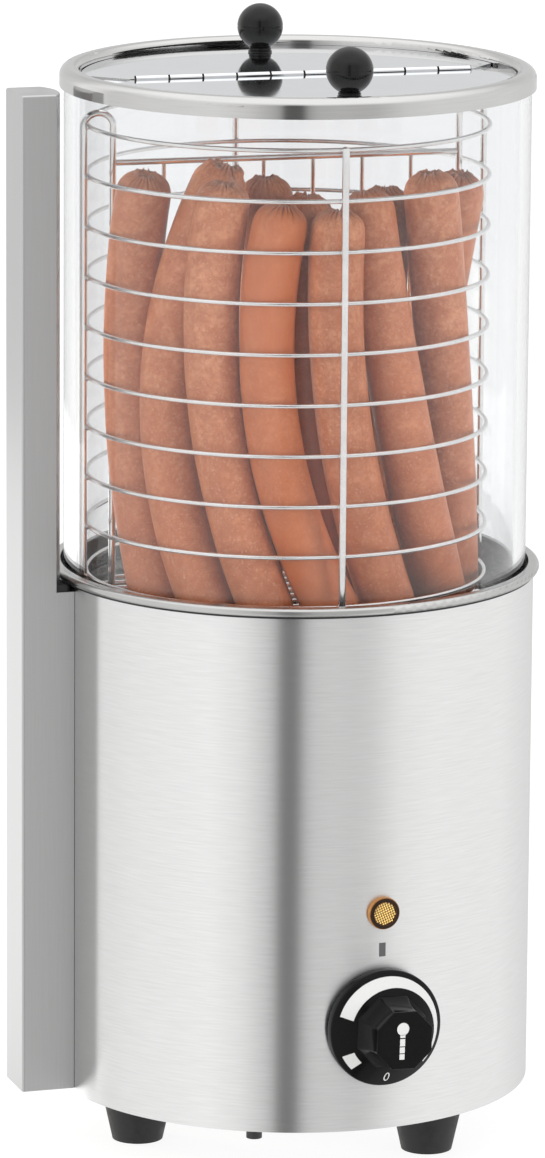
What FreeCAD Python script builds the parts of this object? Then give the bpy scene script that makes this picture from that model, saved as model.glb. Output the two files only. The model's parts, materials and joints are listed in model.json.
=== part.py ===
import FreeCAD, Part
import math
import os

# Hot dog machine: a steel drum with a heated water pan, a glass cylinder standing in the pan's rim,
# a wire basket of sausages inside it, a folding two-leaf lid, and a side column.
# Millimetres, +Z up, floor at Z 0, controls towards -Y, column towards -X.
# Pieces are built about the drum's axis and moved at the end, so that the origin is the middle of
# the whole footprint.

# Feet and casing
foot_height = 25.0
foot_top_d = 33.0
foot_sole_d = 22.0
foot_circle_r = 73.0
foot_turn = 2.5            # degrees, the left foot's turn from the X axis
shell_height = 224.0
shell_wall = 0.8
shell_gap = 0.5            # pan's collar to the shell's inner face
lip_width = 7.0            # edge folded in at the foot of the shell
bottom_plate_wall = 1.5

# Water pan
seal_height = 0.8
bead_overhang = 2.5        # how far the rolled rim stands out from the shell
bead_r = 1.9
pan_wall = 0.8
ledge_drop = 12.8          # rim top down to the ledge under the glass
ledge_width = 5.7          # how far the ledge reaches inside the glass's outer face
step_drop = 8.0            # ledge down to the step under the steam plate
step_width = 5.3
well_depth = 46.0          # step down to the pan's floor

# Steam plate
steam_plate_wall = 1.0
steam_hole_d = 5.0
steam_rows = 5
steam_row_pitch = 15.0

# Glass
glass_d = 200.0
glass_wall = 5.0
glass_height = 226.4
glass_edge_round = 2.4     # fire-polished edges
glass_gap = 1.4            # glass to the rim's inner wall

# Lid
lid_skirt_gap = 1.0        # glass to the lid, inside and outside
lid_sheet = 0.9
lid_skirt_height = 8.5
lid_round = 4.0            # rolled outer edge
lid_inner_round = 3.0
lid_ledge_drop = 5.2       # lid top down to the ledge under the leaves
lid_ledge_width = 9.0
lid_turn = -6.3            # degrees, hinge line's turn from the X axis
leaf_wall = 1.2
leaf_gap = 0.5             # leaf edge to the lid ring
leaf_corner = 16.0         # corner clipped off each leaf beside the hinge
hinge_barrel_d = 3.0
hinge_pin_d = 1.6
hinge_length = 149.0
hinge_shift = 2.5          # middle of the hinge from the lid's middle
knuckles = 10
knuckle_gap = 0.4
hinge_rise = 0.2           # hinge axis above the leaves' top
pin_running_gap = 0.05
knob_ball_d = 20.0
knob_neck_d = 10.0
knob_height = 21.5
knob_reach = 71.0          # hinge line to a knob
knob_screw_depth = 8.0

# Basket
basket_gap = 8.0           # basket to glass, were the basket in the middle
hoop_wire_d = 2.0
hoops = 10
basket_headroom = 22.4     # top hoop below the glass's top
basket_shift = -4.2        # where the basket stands in the glass, along X
post_wire_d = 3.0
hook_r = 5.8
weld_sink = 0.2            # how far welded wires melt into each other
leg_height = 16.6          # lowest hoop above the steam plate
floor_wire_d = 2.5
floor_wires = 15
floor_wire_pitch = 11.0
divider_drop = 15.7        # top hoop down to the divider's bar
divider_bar_d = 2.7
divider_wire_d = 2.0
divider_wires = 6

# Sausages. Each has its place at the head, the waist and the tail, and then its top. A place is how far
# inwards from the hoops, in sausage diameters, and the angle from the front post in degrees. A top is a
# share of the top hoop's height above the floor wires.
sausage_d = 23.0
sausage_gap = 1.5          # hoops to the sausages that lie along them
sausage_rest_gap = 0.3
front_row = [
    ((0, -73), (0, -80), (0, -64.5), 0.92),
    ((0.96, -53), (0.06, -60.2), (0, -43.2), 0.94),
    ((0, -38), (0, -39.8), (0, -22.5), 0.92),
    ((0, -18.5), (0, -20.5), (0, -0.5), 0.88),
    ((0, 1), (0, 3.8), (0, 20.5), 0.867),
    ((0.61, 20), (0.02, 26), (0, 48.5), 0.89),
    ((0, 41), (0, 52.5), (0, 71), 0.925),
    ((0, 69), (0.6, 73), (1.2, 68), 0.90),
]
back_row = [
    ((2.04, -37), (2.09, -39), (2.13, -49), 0.90),
    ((1.17, -6), (1.22, -3.5), (1.12, 18), 0.88),
    ((1.09, 45), (1.3, 40), (2.04, 51.5), 0.88),
]

# Column
column_turn = -4.0         # degrees, the column's turn from the X axis
column_clear = 0.5         # rim to the column's rounded face
column_depth = 26.0
column_top_drop = 6.8      # column's top below the lid's
column_foot_rise = 1.8     # column's foot above the shell's
column_side = 15.2         # flat part of the column's sides above the rim
column_bulge = 4.3         # rise of the rounded face towards the glass
column_wall = 1.2
column_bend_r = 1.2
column_top_round = 1.0
column_gap = 0.1           # column to shell
column_notch_drop = 2.0    # top of the column's wide part below the shell's top
column_cap_wall = 2.0
block_height = 12.0
block_reach = 14.0
block_inset = 48.2         # blocks from the shell's foot and top

# Heater
heater_plate_d = 140.0
heater_plate_wall = 12.0
heater_ring_r = 52.0
heater_tube_d = 8.0
heater_gap_angle = 40.0    # opening of the heater ring, towards the rear
heater_end_drop = 26.0
heater_seat_gap = 0.1
clamp_length = 120.0
clamp_width = 16.0
clamp_wall = 2.0

# Tie stud, nuts and screws
stud_d = 6.0
stud_end = 1.0             # stud past its lower nut
nut_flats = 10.0
nut_height = 5.0
thread_gap = 0.05
hole_gap = 0.3
seat_gap = 0.05            # flat pieces to the round shell
screw_d = 4.0
screw_head_d = 7.0
screw_head_height = 2.0
small_nut_flats = 7.0
small_nut_height = 3.2

# Controls on the front
knob_rise = 45.8           # knob above the shell's foot
dial_gap = 1.0             # dial to shell
dial_d = 50.5
dial_round = 1.2
dial_edge_height = 4.0     # straight edge of the dial, before it slopes up to the grip
dial_slope_rise = 6.0
dial_hollow_depth = 3.5
dial_edge = 4.0            # solid edge round the hollow behind the dial
hub_d = 14.0
grip_sides = 8
grip_base_flats = 31.0
grip_front_flats = 25.0
grip_height = 15.0
grip_scoop_r = 30.0        # hollow of the grip's sides
spindle_d = 6.0
spindle_gap = 0.05
spindle_in_knob = 14.0
spindle_in_body = 10.0
spindle_hole_d = 9.0
thermostat_width = 36.0
thermostat_depth = 22.0
thermostat_height = 44.0
thermostat_flange = 12.0
thermostat_screw_pitch = 28.0
thermostat_screw_depth = 6.0
lamp_rise = 95.3           # lamp above the shell's foot
lamp_bezel_d = 14.0
lamp_bezel_height = 2.6
lamp_bezel_round = 0.9
lamp_lens_d = 10.5
lamp_lens_height = 1.6
lamp_lens_rise = 0.4       # lens proud of its bezel
lamp_lens_round = 0.6
lamp_body_length = 32.0
lamp_gap = 0.1
lamp_clip_d = 18.0
lamp_clip_wall = 0.6

# Sensing bulbs and capillaries
bulb_d = 5.0
bulb_length = 34.0
bulb_gap = 0.1
bulb_drop = 4.0            # bulb axis below the pan
capillary_d = 1.6
capillary_bend_r = 9.0
thermostat_bulb_x = -12.0

# Overheat limiter, with its reset button under the base
limiter_inset = 18.6       # limiter's axis inside the shell
limiter_turn = 237.6       # degrees from the X axis
limiter_d = 20.0
limiter_height = 24.0
button_d = 6.8
button_gap = 0.05
button_out = 9.0           # button below the bottom plate
button_in = 14.0           # button above the underside of the bottom plate
button_room = 4.0          # free bore above the button

# Wiring
terminal_block_length = 54.0
terminal_block_width = 20.0
terminal_block_height = 16.0
terminal_screw_d = 3.0
terminal_head_d = 4.6
terminal_head_height = 1.4
terminal_screw_depth = 7.0
terminal_screw_set = 6.0   # screws ahead of the leads
lead_d = 2.4
lead_bend_r = 10.0
lead_spread = 9.0          # leads beside the middle of the thermostat
lead_rise = 12.0           # leads above and below the middle of the thermostat
lamp_lead_out = 28.0       # lamp lead's way round the tie stud
lamp_lead_rise = 39.8      # lamp lead's level run above the shell's foot

# Cable gland
gland_rise = 25.8          # gland above the shell's foot
gland_bore_d = 8.0
gland_thread_d = 15.8
gland_flange_d = 22.0
gland_flange_wall = 5.0
gland_dome_d = 16.0
gland_dome_height = 8.0
gland_dome_round = 3.0
gland_nut_flats = 20.0
gland_nut_wall = 5.0
gland_thread_end = 3.0     # thread past the nut

# Worked out from the sizes above
glass_r = glass_d / 2
glass_in_r = glass_r - glass_wall
collar_in_r = glass_r + glass_gap
collar_out_r = collar_in_r + pan_wall
shell_in_r = collar_out_r + shell_gap
shell_r = shell_in_r + shell_wall
shell_foot = foot_height - shell_wall
shell_top = shell_foot + shell_height
bottom_top = foot_height + bottom_plate_wall
rim_r = shell_r + bead_overhang
rim_foot = shell_top + seal_height
rim_top = rim_foot + 2 * bead_r
ledge_z = rim_top - ledge_drop
well_r = glass_r - ledge_width
step_z = ledge_z - step_drop
deep_r = well_r - step_width
pan_floor = step_z - well_depth
pan_under = pan_floor - pan_wall
steam_top = step_z + steam_plate_wall
glass_top = ledge_z + glass_height
lid_top = glass_top + lid_sheet
lid_in_r = glass_in_r - lid_skirt_gap
lid_ring_r = lid_in_r - lid_sheet
lid_skirt_in_r = glass_r + lid_skirt_gap
lid_r = lid_skirt_in_r + lid_sheet
leaf_foot = lid_top - lid_ledge_drop
leaf_top = leaf_foot + leaf_wall
leaf_r = lid_ring_r - leaf_gap
barrel_r = hinge_barrel_d / 2
hinge_z = leaf_top + hinge_rise
leaf_edge = barrel_r + knuckle_gap
lowest_hoop = steam_top + leg_height
top_hoop = glass_top - basket_headroom
hoop_pitch = (top_hoop - lowest_hoop) / (hoops - 1)
basket_r = glass_in_r - basket_gap
hoop_r = basket_r - hoop_wire_d / 2
post_r = basket_r + post_wire_d / 2 - weld_sink
hook_in_r = post_r - 2 * hook_r
divider_pitch = 2 * hook_in_r / (divider_wires + 1)
floor_hoop_z = steam_top + hoop_wire_d / 2
floor_wire_z = floor_hoop_z + (hoop_wire_d + floor_wire_d) / 2 - weld_sink
floor_top = floor_wire_z + floor_wire_d / 2
divider_z = top_hoop - divider_drop
sausage_r = sausage_d / 2
heater_under = pan_under - heater_plate_wall
heater_tube_r = heater_tube_d / 2
heater_end_z = heater_under - heater_end_drop
heater_end_x = heater_ring_r * math.sin(math.radians(heater_gap_angle / 2))
heater_end_y = heater_ring_r * math.cos(math.radians(heater_gap_angle / 2))
clamp_top = heater_under - heater_tube_r
clamp_foot = clamp_top - clamp_wall
bulb_z = pan_under - bulb_drop
limiter_x = (shell_in_r - limiter_inset) * math.cos(math.radians(limiter_turn))
limiter_y = (shell_in_r - limiter_inset) * math.sin(math.radians(limiter_turn))
terminal_top = bottom_top + terminal_block_height
knob_level = shell_foot + knob_rise
lamp_level = shell_foot + lamp_rise
lamp_lead_level = shell_foot + lamp_lead_rise
gland_level = shell_foot + gland_rise
block_levels = (shell_foot + block_inset, shell_top - block_inset)
dial_back = shell_r + dial_gap
slope_foot = dial_back + dial_edge_height
grip_foot = slope_foot + dial_slope_rise
grip_front = grip_foot + grip_height
lens_back = shell_r + lamp_bezel_height + lamp_lens_rise - lamp_lens_height
lamp_body_r = lamp_lens_d / 2
gland_end = shell_r + gland_flange_wall + gland_dome_height
column_outer = rim_r + column_clear + column_bulge + column_side
column_foot = shell_foot + column_foot_rise
column_top = lid_top - column_top_drop
column_slant = math.radians(-column_turn)
column_corner = (column_outer - column_bend_r, column_depth / 2 - column_bend_r)
column_reach = (column_corner[0] * math.cos(column_slant) + column_corner[1] * math.sin(column_slant)
                + column_bend_r)
axis_x = (column_reach - rim_r) / 2
axis_y = (grip_front - gland_end) / 2

UP = FreeCAD.Vector(0, 0, 1)
ALONG_X = FreeCAD.Vector(1, 0, 0)
ALONG_Y = FreeCAD.Vector(0, 1, 0)
CENTRE = FreeCAD.Vector(0, 0, 0)
TINY = 1e-6


# Helpers


def at(x, y, z):
    return FreeCAD.Vector(x, y, z)


def disc(radius, low, high, x=0, y=0):
    return Part.makeCylinder(radius, high - low, at(x, y, low), UP)


def tube(outer, inner, low, high, x=0, y=0):
    return disc(outer, low, high, x, y).cut(disc(inner, low, high, x, y))


def rod(start, end, radius):
    run = end - start
    return Part.makeCylinder(radius, run.Length, start, run)


def block(x, y, z):
    # A box from three (low, high) pairs
    return Part.makeBox(x[1] - x[0], y[1] - y[0], z[1] - z[0], at(x[0], y[0], z[0]))


def hex_bar(flats, low, high, x=0, y=0):
    corner = flats / math.sqrt(3)
    turns = [math.radians(60 * i) for i in range(7)]
    ring = [at(x + corner * math.cos(t), y + corner * math.sin(t), low) for t in turns]
    return Part.Face(Part.makePolygon(ring)).extrude(at(0, 0, high - low))


def corner_arc(before, corner, after, radius):
    # Where a rounded corner starts, its middle, and where it ends
    back = (before - corner).normalize()
    ahead = (after - corner).normalize()
    half = back.getAngle(ahead) / 2
    reach = radius / math.tan(half)
    middle = corner + (back + ahead).normalize() * (radius / math.sin(half) - radius)
    return corner + back * reach, middle, corner + ahead * reach


def rounded_path(points, radii, closed=False):
    # Straight runs joined by tangent arcs; a radius of 0 leaves a sharp corner
    count = len(points)
    stops = []
    for i, corner in enumerate(points):
        if radii[i] > 0:
            stops.append(corner_arc(points[i - 1], corner, points[(i + 1) % count], radii[i]))
        else:
            stops.append((corner, corner, corner))
    edges = []
    for i, (start, middle, end) in enumerate(stops):
        if radii[i] > 0:
            edges.append(Part.Arc(start, middle, end).toShape())
        following = stops[(i + 1) % count][0]
        if (closed or i < count - 1) and end.distanceToPoint(following) > TINY:
            edges.append(Part.makeLine(end, following))
    return Part.Wire(edges)


def revolved(corners):
    # A closed outline of (radius, height) or (radius, height, rounding), turned about the Z axis
    points = [at(c[0], 0, c[1]) for c in corners]
    radii = [c[2] if len(c) > 2 else 0 for c in corners]
    return Part.Face(rounded_path(points, radii, closed=True)).revolve(CENTRE, UP, 360)


def pipe(points, radius, bend):
    # A round bar along straight runs with bends between them
    radii = [0] + [bend] * (len(points) - 2) + [0]
    profile = Part.Wire(Part.makeCircle(radius, points[0], points[1] - points[0]))
    return rounded_path(points, radii).makePipeShell([profile], True, False)


def fused(shapes):
    return shapes[0].multiFuse(shapes[1:]).removeSplitter()


def group(shapes):
    return Part.makeCompound(shapes)


def rotated(shape, degrees, axis):
    copy = shape.copy()
    copy.rotate(CENTRE, axis, degrees)
    return copy


def moved(shape, x, y, z):
    copy = shape.copy()
    copy.translate(at(x, y, z))
    return copy


def on_front(shape, level):
    # From a piece drawn standing on the drum's axis to one that points forward at this height
    return moved(rotated(shape, 90, ALONG_X), 0, 0, level)


def on_rear(shape, level):
    return moved(rotated(shape, -90, ALONG_X), 0, 0, level)


def in_basket(shape):
    return moved(rotated(shape, lid_turn, UP), basket_shift, 0, 0)


def in_lid(shape):
    return rotated(shape, lid_turn, UP)


def in_column(shape):
    return rotated(shape, column_turn, UP)


def inside_flat(half_width):
    # How far from the drum's axis a flat piece of this half width meets the shell's inner face
    return math.sqrt(shell_in_r ** 2 - half_width ** 2) - seat_gap


# Feet and casing


def foot_places():
    turns = [math.radians(foot_turn + step) for step in (180, 300, 60)]
    return [(foot_circle_r * math.cos(t), foot_circle_r * math.sin(t)) for t in turns]


def foot(x, y):
    body = Part.makeCone(foot_sole_d / 2, foot_top_d / 2, foot_height, at(x, y, 0), UP)
    recess = disc(screw_head_d / 2 + hole_gap, 0, foot_height / 2, x, y)
    hole = disc(screw_d / 2 + hole_gap, 0, foot_height, x, y)
    return body.cut(recess).cut(hole)


def foot_screws():
    screws = []
    for x, y in foot_places():
        head = disc(screw_head_d / 2, foot_height / 2 - screw_head_height, foot_height / 2, x, y)
        shank = disc(screw_d / 2, foot_height / 2, bottom_top + small_nut_height, x, y)
        screws.append(fused([head, shank]))
    return group(screws)


def foot_nuts():
    nuts = []
    for x, y in foot_places():
        nut = hex_bar(small_nut_flats, bottom_top, bottom_top + small_nut_height, x, y)
        bore = disc(screw_d / 2 + thread_gap, bottom_top, bottom_top + small_nut_height, x, y)
        nuts.append(nut.cut(bore))
    return group(nuts)


def bottom_plate():
    plate = disc(shell_in_r - hole_gap, foot_height, bottom_top)
    holes = [disc(stud_d / 2 + hole_gap, foot_height, bottom_top)]
    holes.append(disc(button_d / 2 + hole_gap, foot_height, bottom_top, limiter_x, limiter_y))
    for x, y in foot_places():
        holes.append(disc(screw_d / 2 + hole_gap, foot_height, bottom_top, x, y))
    return plate.cut(holes)


def thermostat_screw_levels():
    return knob_level - thermostat_screw_pitch / 2, knob_level + thermostat_screw_pitch / 2


def base_shell():
    wall = tube(shell_r, shell_in_r, shell_foot, shell_top)
    lip = tube(shell_r, shell_in_r - lip_width, shell_foot, foot_height)
    holes = [on_front(disc(spindle_hole_d / 2, 0, rim_r), knob_level)]
    holes.append(on_front(disc(lamp_body_r + hole_gap, 0, rim_r), lamp_level))
    holes.append(on_rear(disc(gland_thread_d / 2 + hole_gap, 0, rim_r), gland_level))
    for z in thermostat_screw_levels():
        holes.append(on_front(disc(screw_d / 2 + hole_gap, 0, rim_r), z))
    for z in block_levels:
        holes.append(in_column(rod(at(-rim_r, 0, z), at(0, 0, z), screw_d / 2 + hole_gap)))
    return fused([wall, lip]).cut(holes)


# Water pan


def rim_seal():
    return tube(rim_r - bead_r, shell_in_r, shell_top, rim_foot)


def water_pan():
    bead_at = rim_r - bead_r
    rim = tube(bead_at, collar_in_r, rim_foot, rim_top)
    bead = Part.makeTorus(bead_at, bead_r, at(0, 0, rim_foot + bead_r), UP)
    pan = revolved([
        (collar_in_r, rim_foot + bead_r), (collar_out_r, rim_foot + bead_r),
        (collar_out_r, ledge_z - pan_wall), (well_r + pan_wall, ledge_z - pan_wall),
        (well_r + pan_wall, step_z - pan_wall), (deep_r + pan_wall, step_z - pan_wall),
        (deep_r + pan_wall, pan_under), (0, pan_under), (0, pan_floor), (deep_r, pan_floor),
        (deep_r, step_z), (well_r, step_z), (well_r, ledge_z), (collar_in_r, ledge_z),
    ])
    return fused([rim, bead, pan])


def steam_plate():
    holes = []
    for row in range(1, steam_rows + 1):
        reach = row * steam_row_pitch
        for i in range(6 * row):
            turn = math.radians(60.0 * i / row)
            x, y = reach * math.cos(turn), reach * math.sin(turn)
            holes.append(disc(steam_hole_d / 2, step_z, steam_top, x, y))
    return disc(well_r - hole_gap, step_z, steam_top).cut(holes)


# Heater and tie stud


def heater_plate():
    plate = disc(heater_plate_d / 2, heater_under, pan_under)
    seat = Part.makeTorus(heater_ring_r, heater_tube_r + heater_seat_gap, at(0, 0, heater_under), UP)
    cuts = [seat, disc(stud_d / 2 + hole_gap, heater_under, pan_under)]
    for x in (thermostat_bulb_x, limiter_x):
        mouth = -plate_edge(x)
        end = at(x, mouth + bulb_length + hole_gap, bulb_z)
        cuts.append(rod(at(x, -heater_plate_d, bulb_z), end, bulb_d / 2 + bulb_gap))
    return plate.cut(cuts)


def plate_edge(x):
    # Half the heater plate's width across Y at this X
    return math.sqrt((heater_plate_d / 2) ** 2 - x ** 2)


def heater_tube():
    section = Part.makeCircle(heater_tube_r, at(heater_ring_r, 0, heater_under), ALONG_Y)
    ring = Part.Face(Part.Wire(section)).revolve(CENTRE, UP, 360 - heater_gap_angle)
    shapes = [rotated(ring, 90 + heater_gap_angle / 2, UP)]
    for x in (-heater_end_x, heater_end_x):
        shapes.append(Part.makeSphere(heater_tube_r, at(x, heater_end_y, heater_under)))
        shapes.append(disc(heater_tube_r, heater_end_z, heater_under, x, heater_end_y))
    return fused(shapes)


def heater_clamp():
    half = clamp_length / 2
    bar = block((-half, half), (-clamp_width / 2, clamp_width / 2), (clamp_foot, clamp_top))
    return bar.cut(disc(stud_d / 2 + hole_gap, clamp_foot, clamp_top))


def tie_stud():
    return disc(stud_d / 2, foot_height - nut_height - stud_end, pan_under)


def tie_nuts():
    nuts = []
    for top in (clamp_foot, foot_height):
        nut = hex_bar(nut_flats, top - nut_height, top)
        nuts.append(nut.cut(disc(stud_d / 2 + thread_gap, top - nut_height, top)))
    return group(nuts)


# Controls, drawn standing on the drum's axis with Z outwards


def thermostat_body():
    front = inside_flat(thermostat_width / 2) - hole_gap
    face = inside_flat(thermostat_flange / 2)
    tall = (-thermostat_height / 2, thermostat_height / 2)
    wide = (-thermostat_width / 2, thermostat_width / 2)
    body = block(wide, tall, (front - thermostat_depth, front))
    flange = block((-thermostat_flange / 2, thermostat_flange / 2), tall, (front, face))
    cuts = [disc(spindle_d / 2 + spindle_gap, face - spindle_in_body, face)]
    for y in (-thermostat_screw_pitch / 2, thermostat_screw_pitch / 2):
        cuts.append(disc(screw_d / 2 + thread_gap, face - thermostat_screw_depth - hole_gap, face, 0, y))
    return on_front(fused([body, flange]).cut(cuts), knob_level)


def thermostat_screws():
    foot_end = inside_flat(thermostat_flange / 2) - thermostat_screw_depth
    screw = fused([
        disc(screw_d / 2, foot_end, shell_r),
        disc(screw_head_d / 2, shell_r, shell_r + screw_head_height),
    ])
    return group([on_front(screw, z) for z in thermostat_screw_levels()])


def thermostat_spindle():
    inner = inside_flat(thermostat_flange / 2) - spindle_in_body + hole_gap
    return on_front(disc(spindle_d / 2, inner, dial_back + spindle_in_knob), knob_level)


def grip():
    # An eight-sided bar whose sides are hollowed by cylinders lying across it
    corner = grip_base_flats / 2 / math.cos(math.pi / grip_sides)
    turns = [math.radians((i + 0.5) * 360 / grip_sides) for i in range(grip_sides + 1)]
    ring = [at(corner * math.cos(t), corner * math.sin(t), grip_foot) for t in turns]
    bar = Part.Face(Part.makePolygon(ring)).extrude(at(0, 0, grip_height))
    foot, front = at(grip_base_flats / 2, 0, grip_foot), at(grip_front_flats / 2, 0, grip_front)
    chord = front - foot
    outwards = at(chord.z, 0, -chord.x).normalize()
    middle = (foot + front) * 0.5 + outwards * math.sqrt(grip_scoop_r ** 2 - (chord.Length / 2) ** 2)
    across = at(0, grip_base_flats / 2, 0)
    scoop = rod(middle - across, middle + across, grip_scoop_r)
    return bar.cut([rotated(scoop, i * 360 / grip_sides, UP) for i in range(grip_sides)])


def thermostat_knob():
    hollow = dial_back + dial_hollow_depth
    dial_r, hollow_r = dial_d / 2, dial_d / 2 - dial_edge
    skirt = revolved([
        (0, dial_back), (hub_d / 2, dial_back), (hub_d / 2, hollow),
        (hollow_r, hollow), (hollow_r, dial_back), (dial_r, dial_back),
        (dial_r, slope_foot, dial_round), (grip_base_flats / 2, grip_foot), (0, grip_foot),
    ])
    bore = disc(spindle_d / 2 + spindle_gap, dial_back, dial_back + spindle_in_knob + hole_gap)
    return on_front(fused([skirt, grip()]).cut(bore), knob_level)


def lamp_bezel():
    inner, outer = lamp_body_r + lamp_gap, lamp_bezel_d / 2
    top = shell_r + lamp_bezel_height
    ring = revolved([(inner, shell_r), (outer, shell_r), (outer, top, lamp_bezel_round), (inner, top)])
    return on_front(ring, lamp_level)


def lamp_lens():
    top = lens_back + lamp_lens_height
    edge = lamp_body_r
    lens = revolved([(0, lens_back), (edge, lens_back), (edge, top, lamp_lens_round), (0, top)])
    return on_front(lens, lamp_level)


def lamp_body():
    return on_front(disc(lamp_body_r, lens_back - lamp_body_length, lens_back), lamp_level)


def lamp_clip():
    face = inside_flat(lamp_clip_d / 2)
    return on_front(tube(lamp_clip_d / 2, lamp_body_r + lamp_gap, face - lamp_clip_wall, face), lamp_level)


# Sensing, limiter and wiring


def sensing_line(x, y, low):
    # A bulb in the heater plate, and its capillary out over the plate's edge and down to its control
    mouth = -plate_edge(x)
    bulb = rod(at(x, mouth, bulb_z), at(x, mouth + bulb_length, bulb_z), bulb_d / 2)
    line = pipe([at(x, mouth, bulb_z), at(x, y, bulb_z), at(x, y, low)], capillary_d / 2, capillary_bend_r)
    return fused([bulb, line])


def thermostat_sensor():
    middle = inside_flat(thermostat_width / 2) - hole_gap - thermostat_depth / 2
    return sensing_line(thermostat_bulb_x, -middle, knob_level + thermostat_height / 2)


def limiter_sensor():
    return sensing_line(limiter_x, limiter_y, bottom_top + limiter_height)


def limiter_body():
    body = disc(limiter_d / 2, bottom_top, bottom_top + limiter_height, limiter_x, limiter_y)
    bore_top = foot_height + button_in + button_room
    return body.cut(disc(button_d / 2 + button_gap, bottom_top, bore_top, limiter_x, limiter_y))


def reset_button():
    return disc(button_d / 2, foot_height - button_out, foot_height + button_in, limiter_x, limiter_y)


def terminal_places():
    return [(-heater_end_x, heater_end_y), (0, heater_end_y), (heater_end_x, heater_end_y)]


def terminal_block():
    half_x, half_y = terminal_block_length / 2, terminal_block_width / 2
    deep = (heater_end_y - half_y, heater_end_y + half_y)
    body = block((-half_x, half_x), deep, (bottom_top, terminal_top))
    low = terminal_top - terminal_screw_depth - hole_gap
    holes = [disc(terminal_screw_d / 2 + thread_gap, low, terminal_top, x, y - terminal_screw_set)
             for x, y in terminal_places()]
    return body.cut(holes)


def terminal_screws():
    screws = []
    for x, y in terminal_places():
        shank = disc(terminal_screw_d / 2, terminal_top - terminal_screw_depth, terminal_top, x,
                     y - terminal_screw_set)
        head = disc(terminal_head_d / 2, terminal_top, terminal_top + terminal_head_height, x,
                    y - terminal_screw_set)
        screws.append(fused([shank, head]))
    return group(screws)


def thermostat_rear():
    return -(inside_flat(thermostat_width / 2) - hole_gap - thermostat_depth)


def heater_lead_live():
    level = knob_level + lead_rise
    start = at(-heater_end_x, heater_end_y, heater_end_z)
    turn = at(-heater_end_x, heater_end_y, level)
    near = at(-lead_spread, thermostat_rear() / 2, level)
    return pipe([start, turn, near, at(-lead_spread, thermostat_rear(), level)], lead_d / 2, lead_bend_r)


def heater_lead_neutral():
    start = at(heater_end_x, heater_end_y, heater_end_z)
    return rod(start, at(heater_end_x, heater_end_y, terminal_top), lead_d / 2)


def supply_lead():
    level = knob_level - lead_rise
    start = at(0, heater_end_y, terminal_top)
    turn = at(0, heater_end_y, level)
    near = at(lead_spread, heater_end_y / 2, level)
    return pipe([start, turn, near, at(lead_spread, thermostat_rear(), level)], lead_d / 2, lead_bend_r)


def lamp_lead():
    back = -(lens_back - lamp_body_length)
    end_x = -heater_end_x
    return pipe([
        at(0, back, lamp_level), at(0, back / 2, lamp_level), at(-lamp_lead_out, 0, lamp_lead_level),
        at(end_x, heater_end_y, lamp_lead_level), at(end_x, heater_end_y, terminal_top),
    ], lead_d / 2, lead_bend_r)


# Cable gland, drawn standing on the drum's axis with Z outwards


def gland_nut_face():
    return inside_flat(gland_nut_flats / math.sqrt(3))


def cable_gland():
    thread_end = gland_nut_face() - gland_nut_wall - gland_thread_end
    flange = shell_r + gland_flange_wall
    bore_r = gland_bore_d / 2
    body = revolved([
        (bore_r, thread_end), (gland_thread_d / 2, thread_end), (gland_thread_d / 2, shell_r),
        (gland_flange_d / 2, shell_r), (gland_flange_d / 2, flange), (gland_dome_d / 2, flange),
        (gland_dome_d / 2, gland_end, gland_dome_round), (bore_r, gland_end),
    ])
    return on_rear(body, gland_level)


def gland_nut():
    face = gland_nut_face()
    nut = hex_bar(gland_nut_flats, face - gland_nut_wall, face)
    return on_rear(nut.cut(disc(gland_thread_d / 2 + thread_gap, face - gland_nut_wall, face)), gland_level)


# Column


def column_prism(inset, low, high):
    # The column's outline above the rim: flat outside and sides, rounded towards the glass
    half = column_depth / 2 - inset
    bulge_r = ((column_depth / 2) ** 2 + column_bulge ** 2) / (2 * column_bulge)
    bulge_x = column_side + column_bulge - column_outer - bulge_r
    side = bulge_x + math.sqrt((bulge_r - inset) ** 2 - half ** 2)
    outer = inset - column_outer
    corners = [at(side, -half, low), at(outer, -half, low), at(outer, half, low), at(side, half, low)]
    bend = max(0, column_bend_r - inset)
    sides = rounded_path(corners, [0, bend, bend, 0])
    face = Part.Arc(corners[3], at(bulge_x + bulge_r - inset, 0, low), corners[0]).toShape()
    return Part.Face(Part.Wire(sides.Edges + [face])).extrude(at(0, 0, high - low))


def column_skirt(inset, clear, low, high):
    # The wide part below the rim, which reaches to within this clearance of the shell
    half = column_depth / 2 - inset
    body = block((column_side / 2 - column_outer, 0), (-half, half), (low, high))
    return body.cut(disc(shell_r + clear, low, high))


def column_shell():
    notch = shell_top - column_notch_drop
    upright = column_prism(0, column_foot, column_top)
    top_edges = [e for e in upright.Edges if e.BoundBox.ZMin > column_top - column_top_round]
    upright = upright.makeFillet(column_top_round, top_edges)
    skirt = column_skirt(0, column_gap, column_foot, notch)
    hollow = column_prism(column_wall, column_foot, column_top - column_wall)
    skirt_hollow = column_skirt(column_wall, column_gap, column_foot, notch - column_wall)
    return in_column(fused([upright, skirt]).cut(hollow).cut(skirt_hollow))


def column_cap():
    inset = column_wall + column_gap
    top = column_foot + column_cap_wall
    skirt = column_skirt(inset, 2 * column_gap, column_foot, top)
    return in_column(fused([column_prism(inset, column_foot, top), skirt]))


def column_blocks():
    half = column_depth / 2 - column_wall
    blocks = []
    for z in block_levels:
        low, high = z - block_height / 2, z + block_height / 2
        body = block((-shell_r - block_reach, 0), (-half, half), (low, high))
        hole = rod(at(-column_outer, 0, z), at(0, 0, z), screw_d / 2 + thread_gap)
        blocks.append(body.cut(disc(shell_r + column_gap, low, high)).cut(hole))
    return in_column(group(blocks))


def column_screws():
    face = inside_flat(screw_head_d / 2)
    screws = []
    for z in block_levels:
        head = rod(at(-face, 0, z), at(screw_head_height - face, 0, z), screw_head_d / 2)
        shank = rod(at(-shell_r - block_reach, 0, z), at(-face, 0, z), screw_d / 2)
        screws.append(fused([head, shank]))
    return in_column(group(screws))


# Glass and lid


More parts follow.
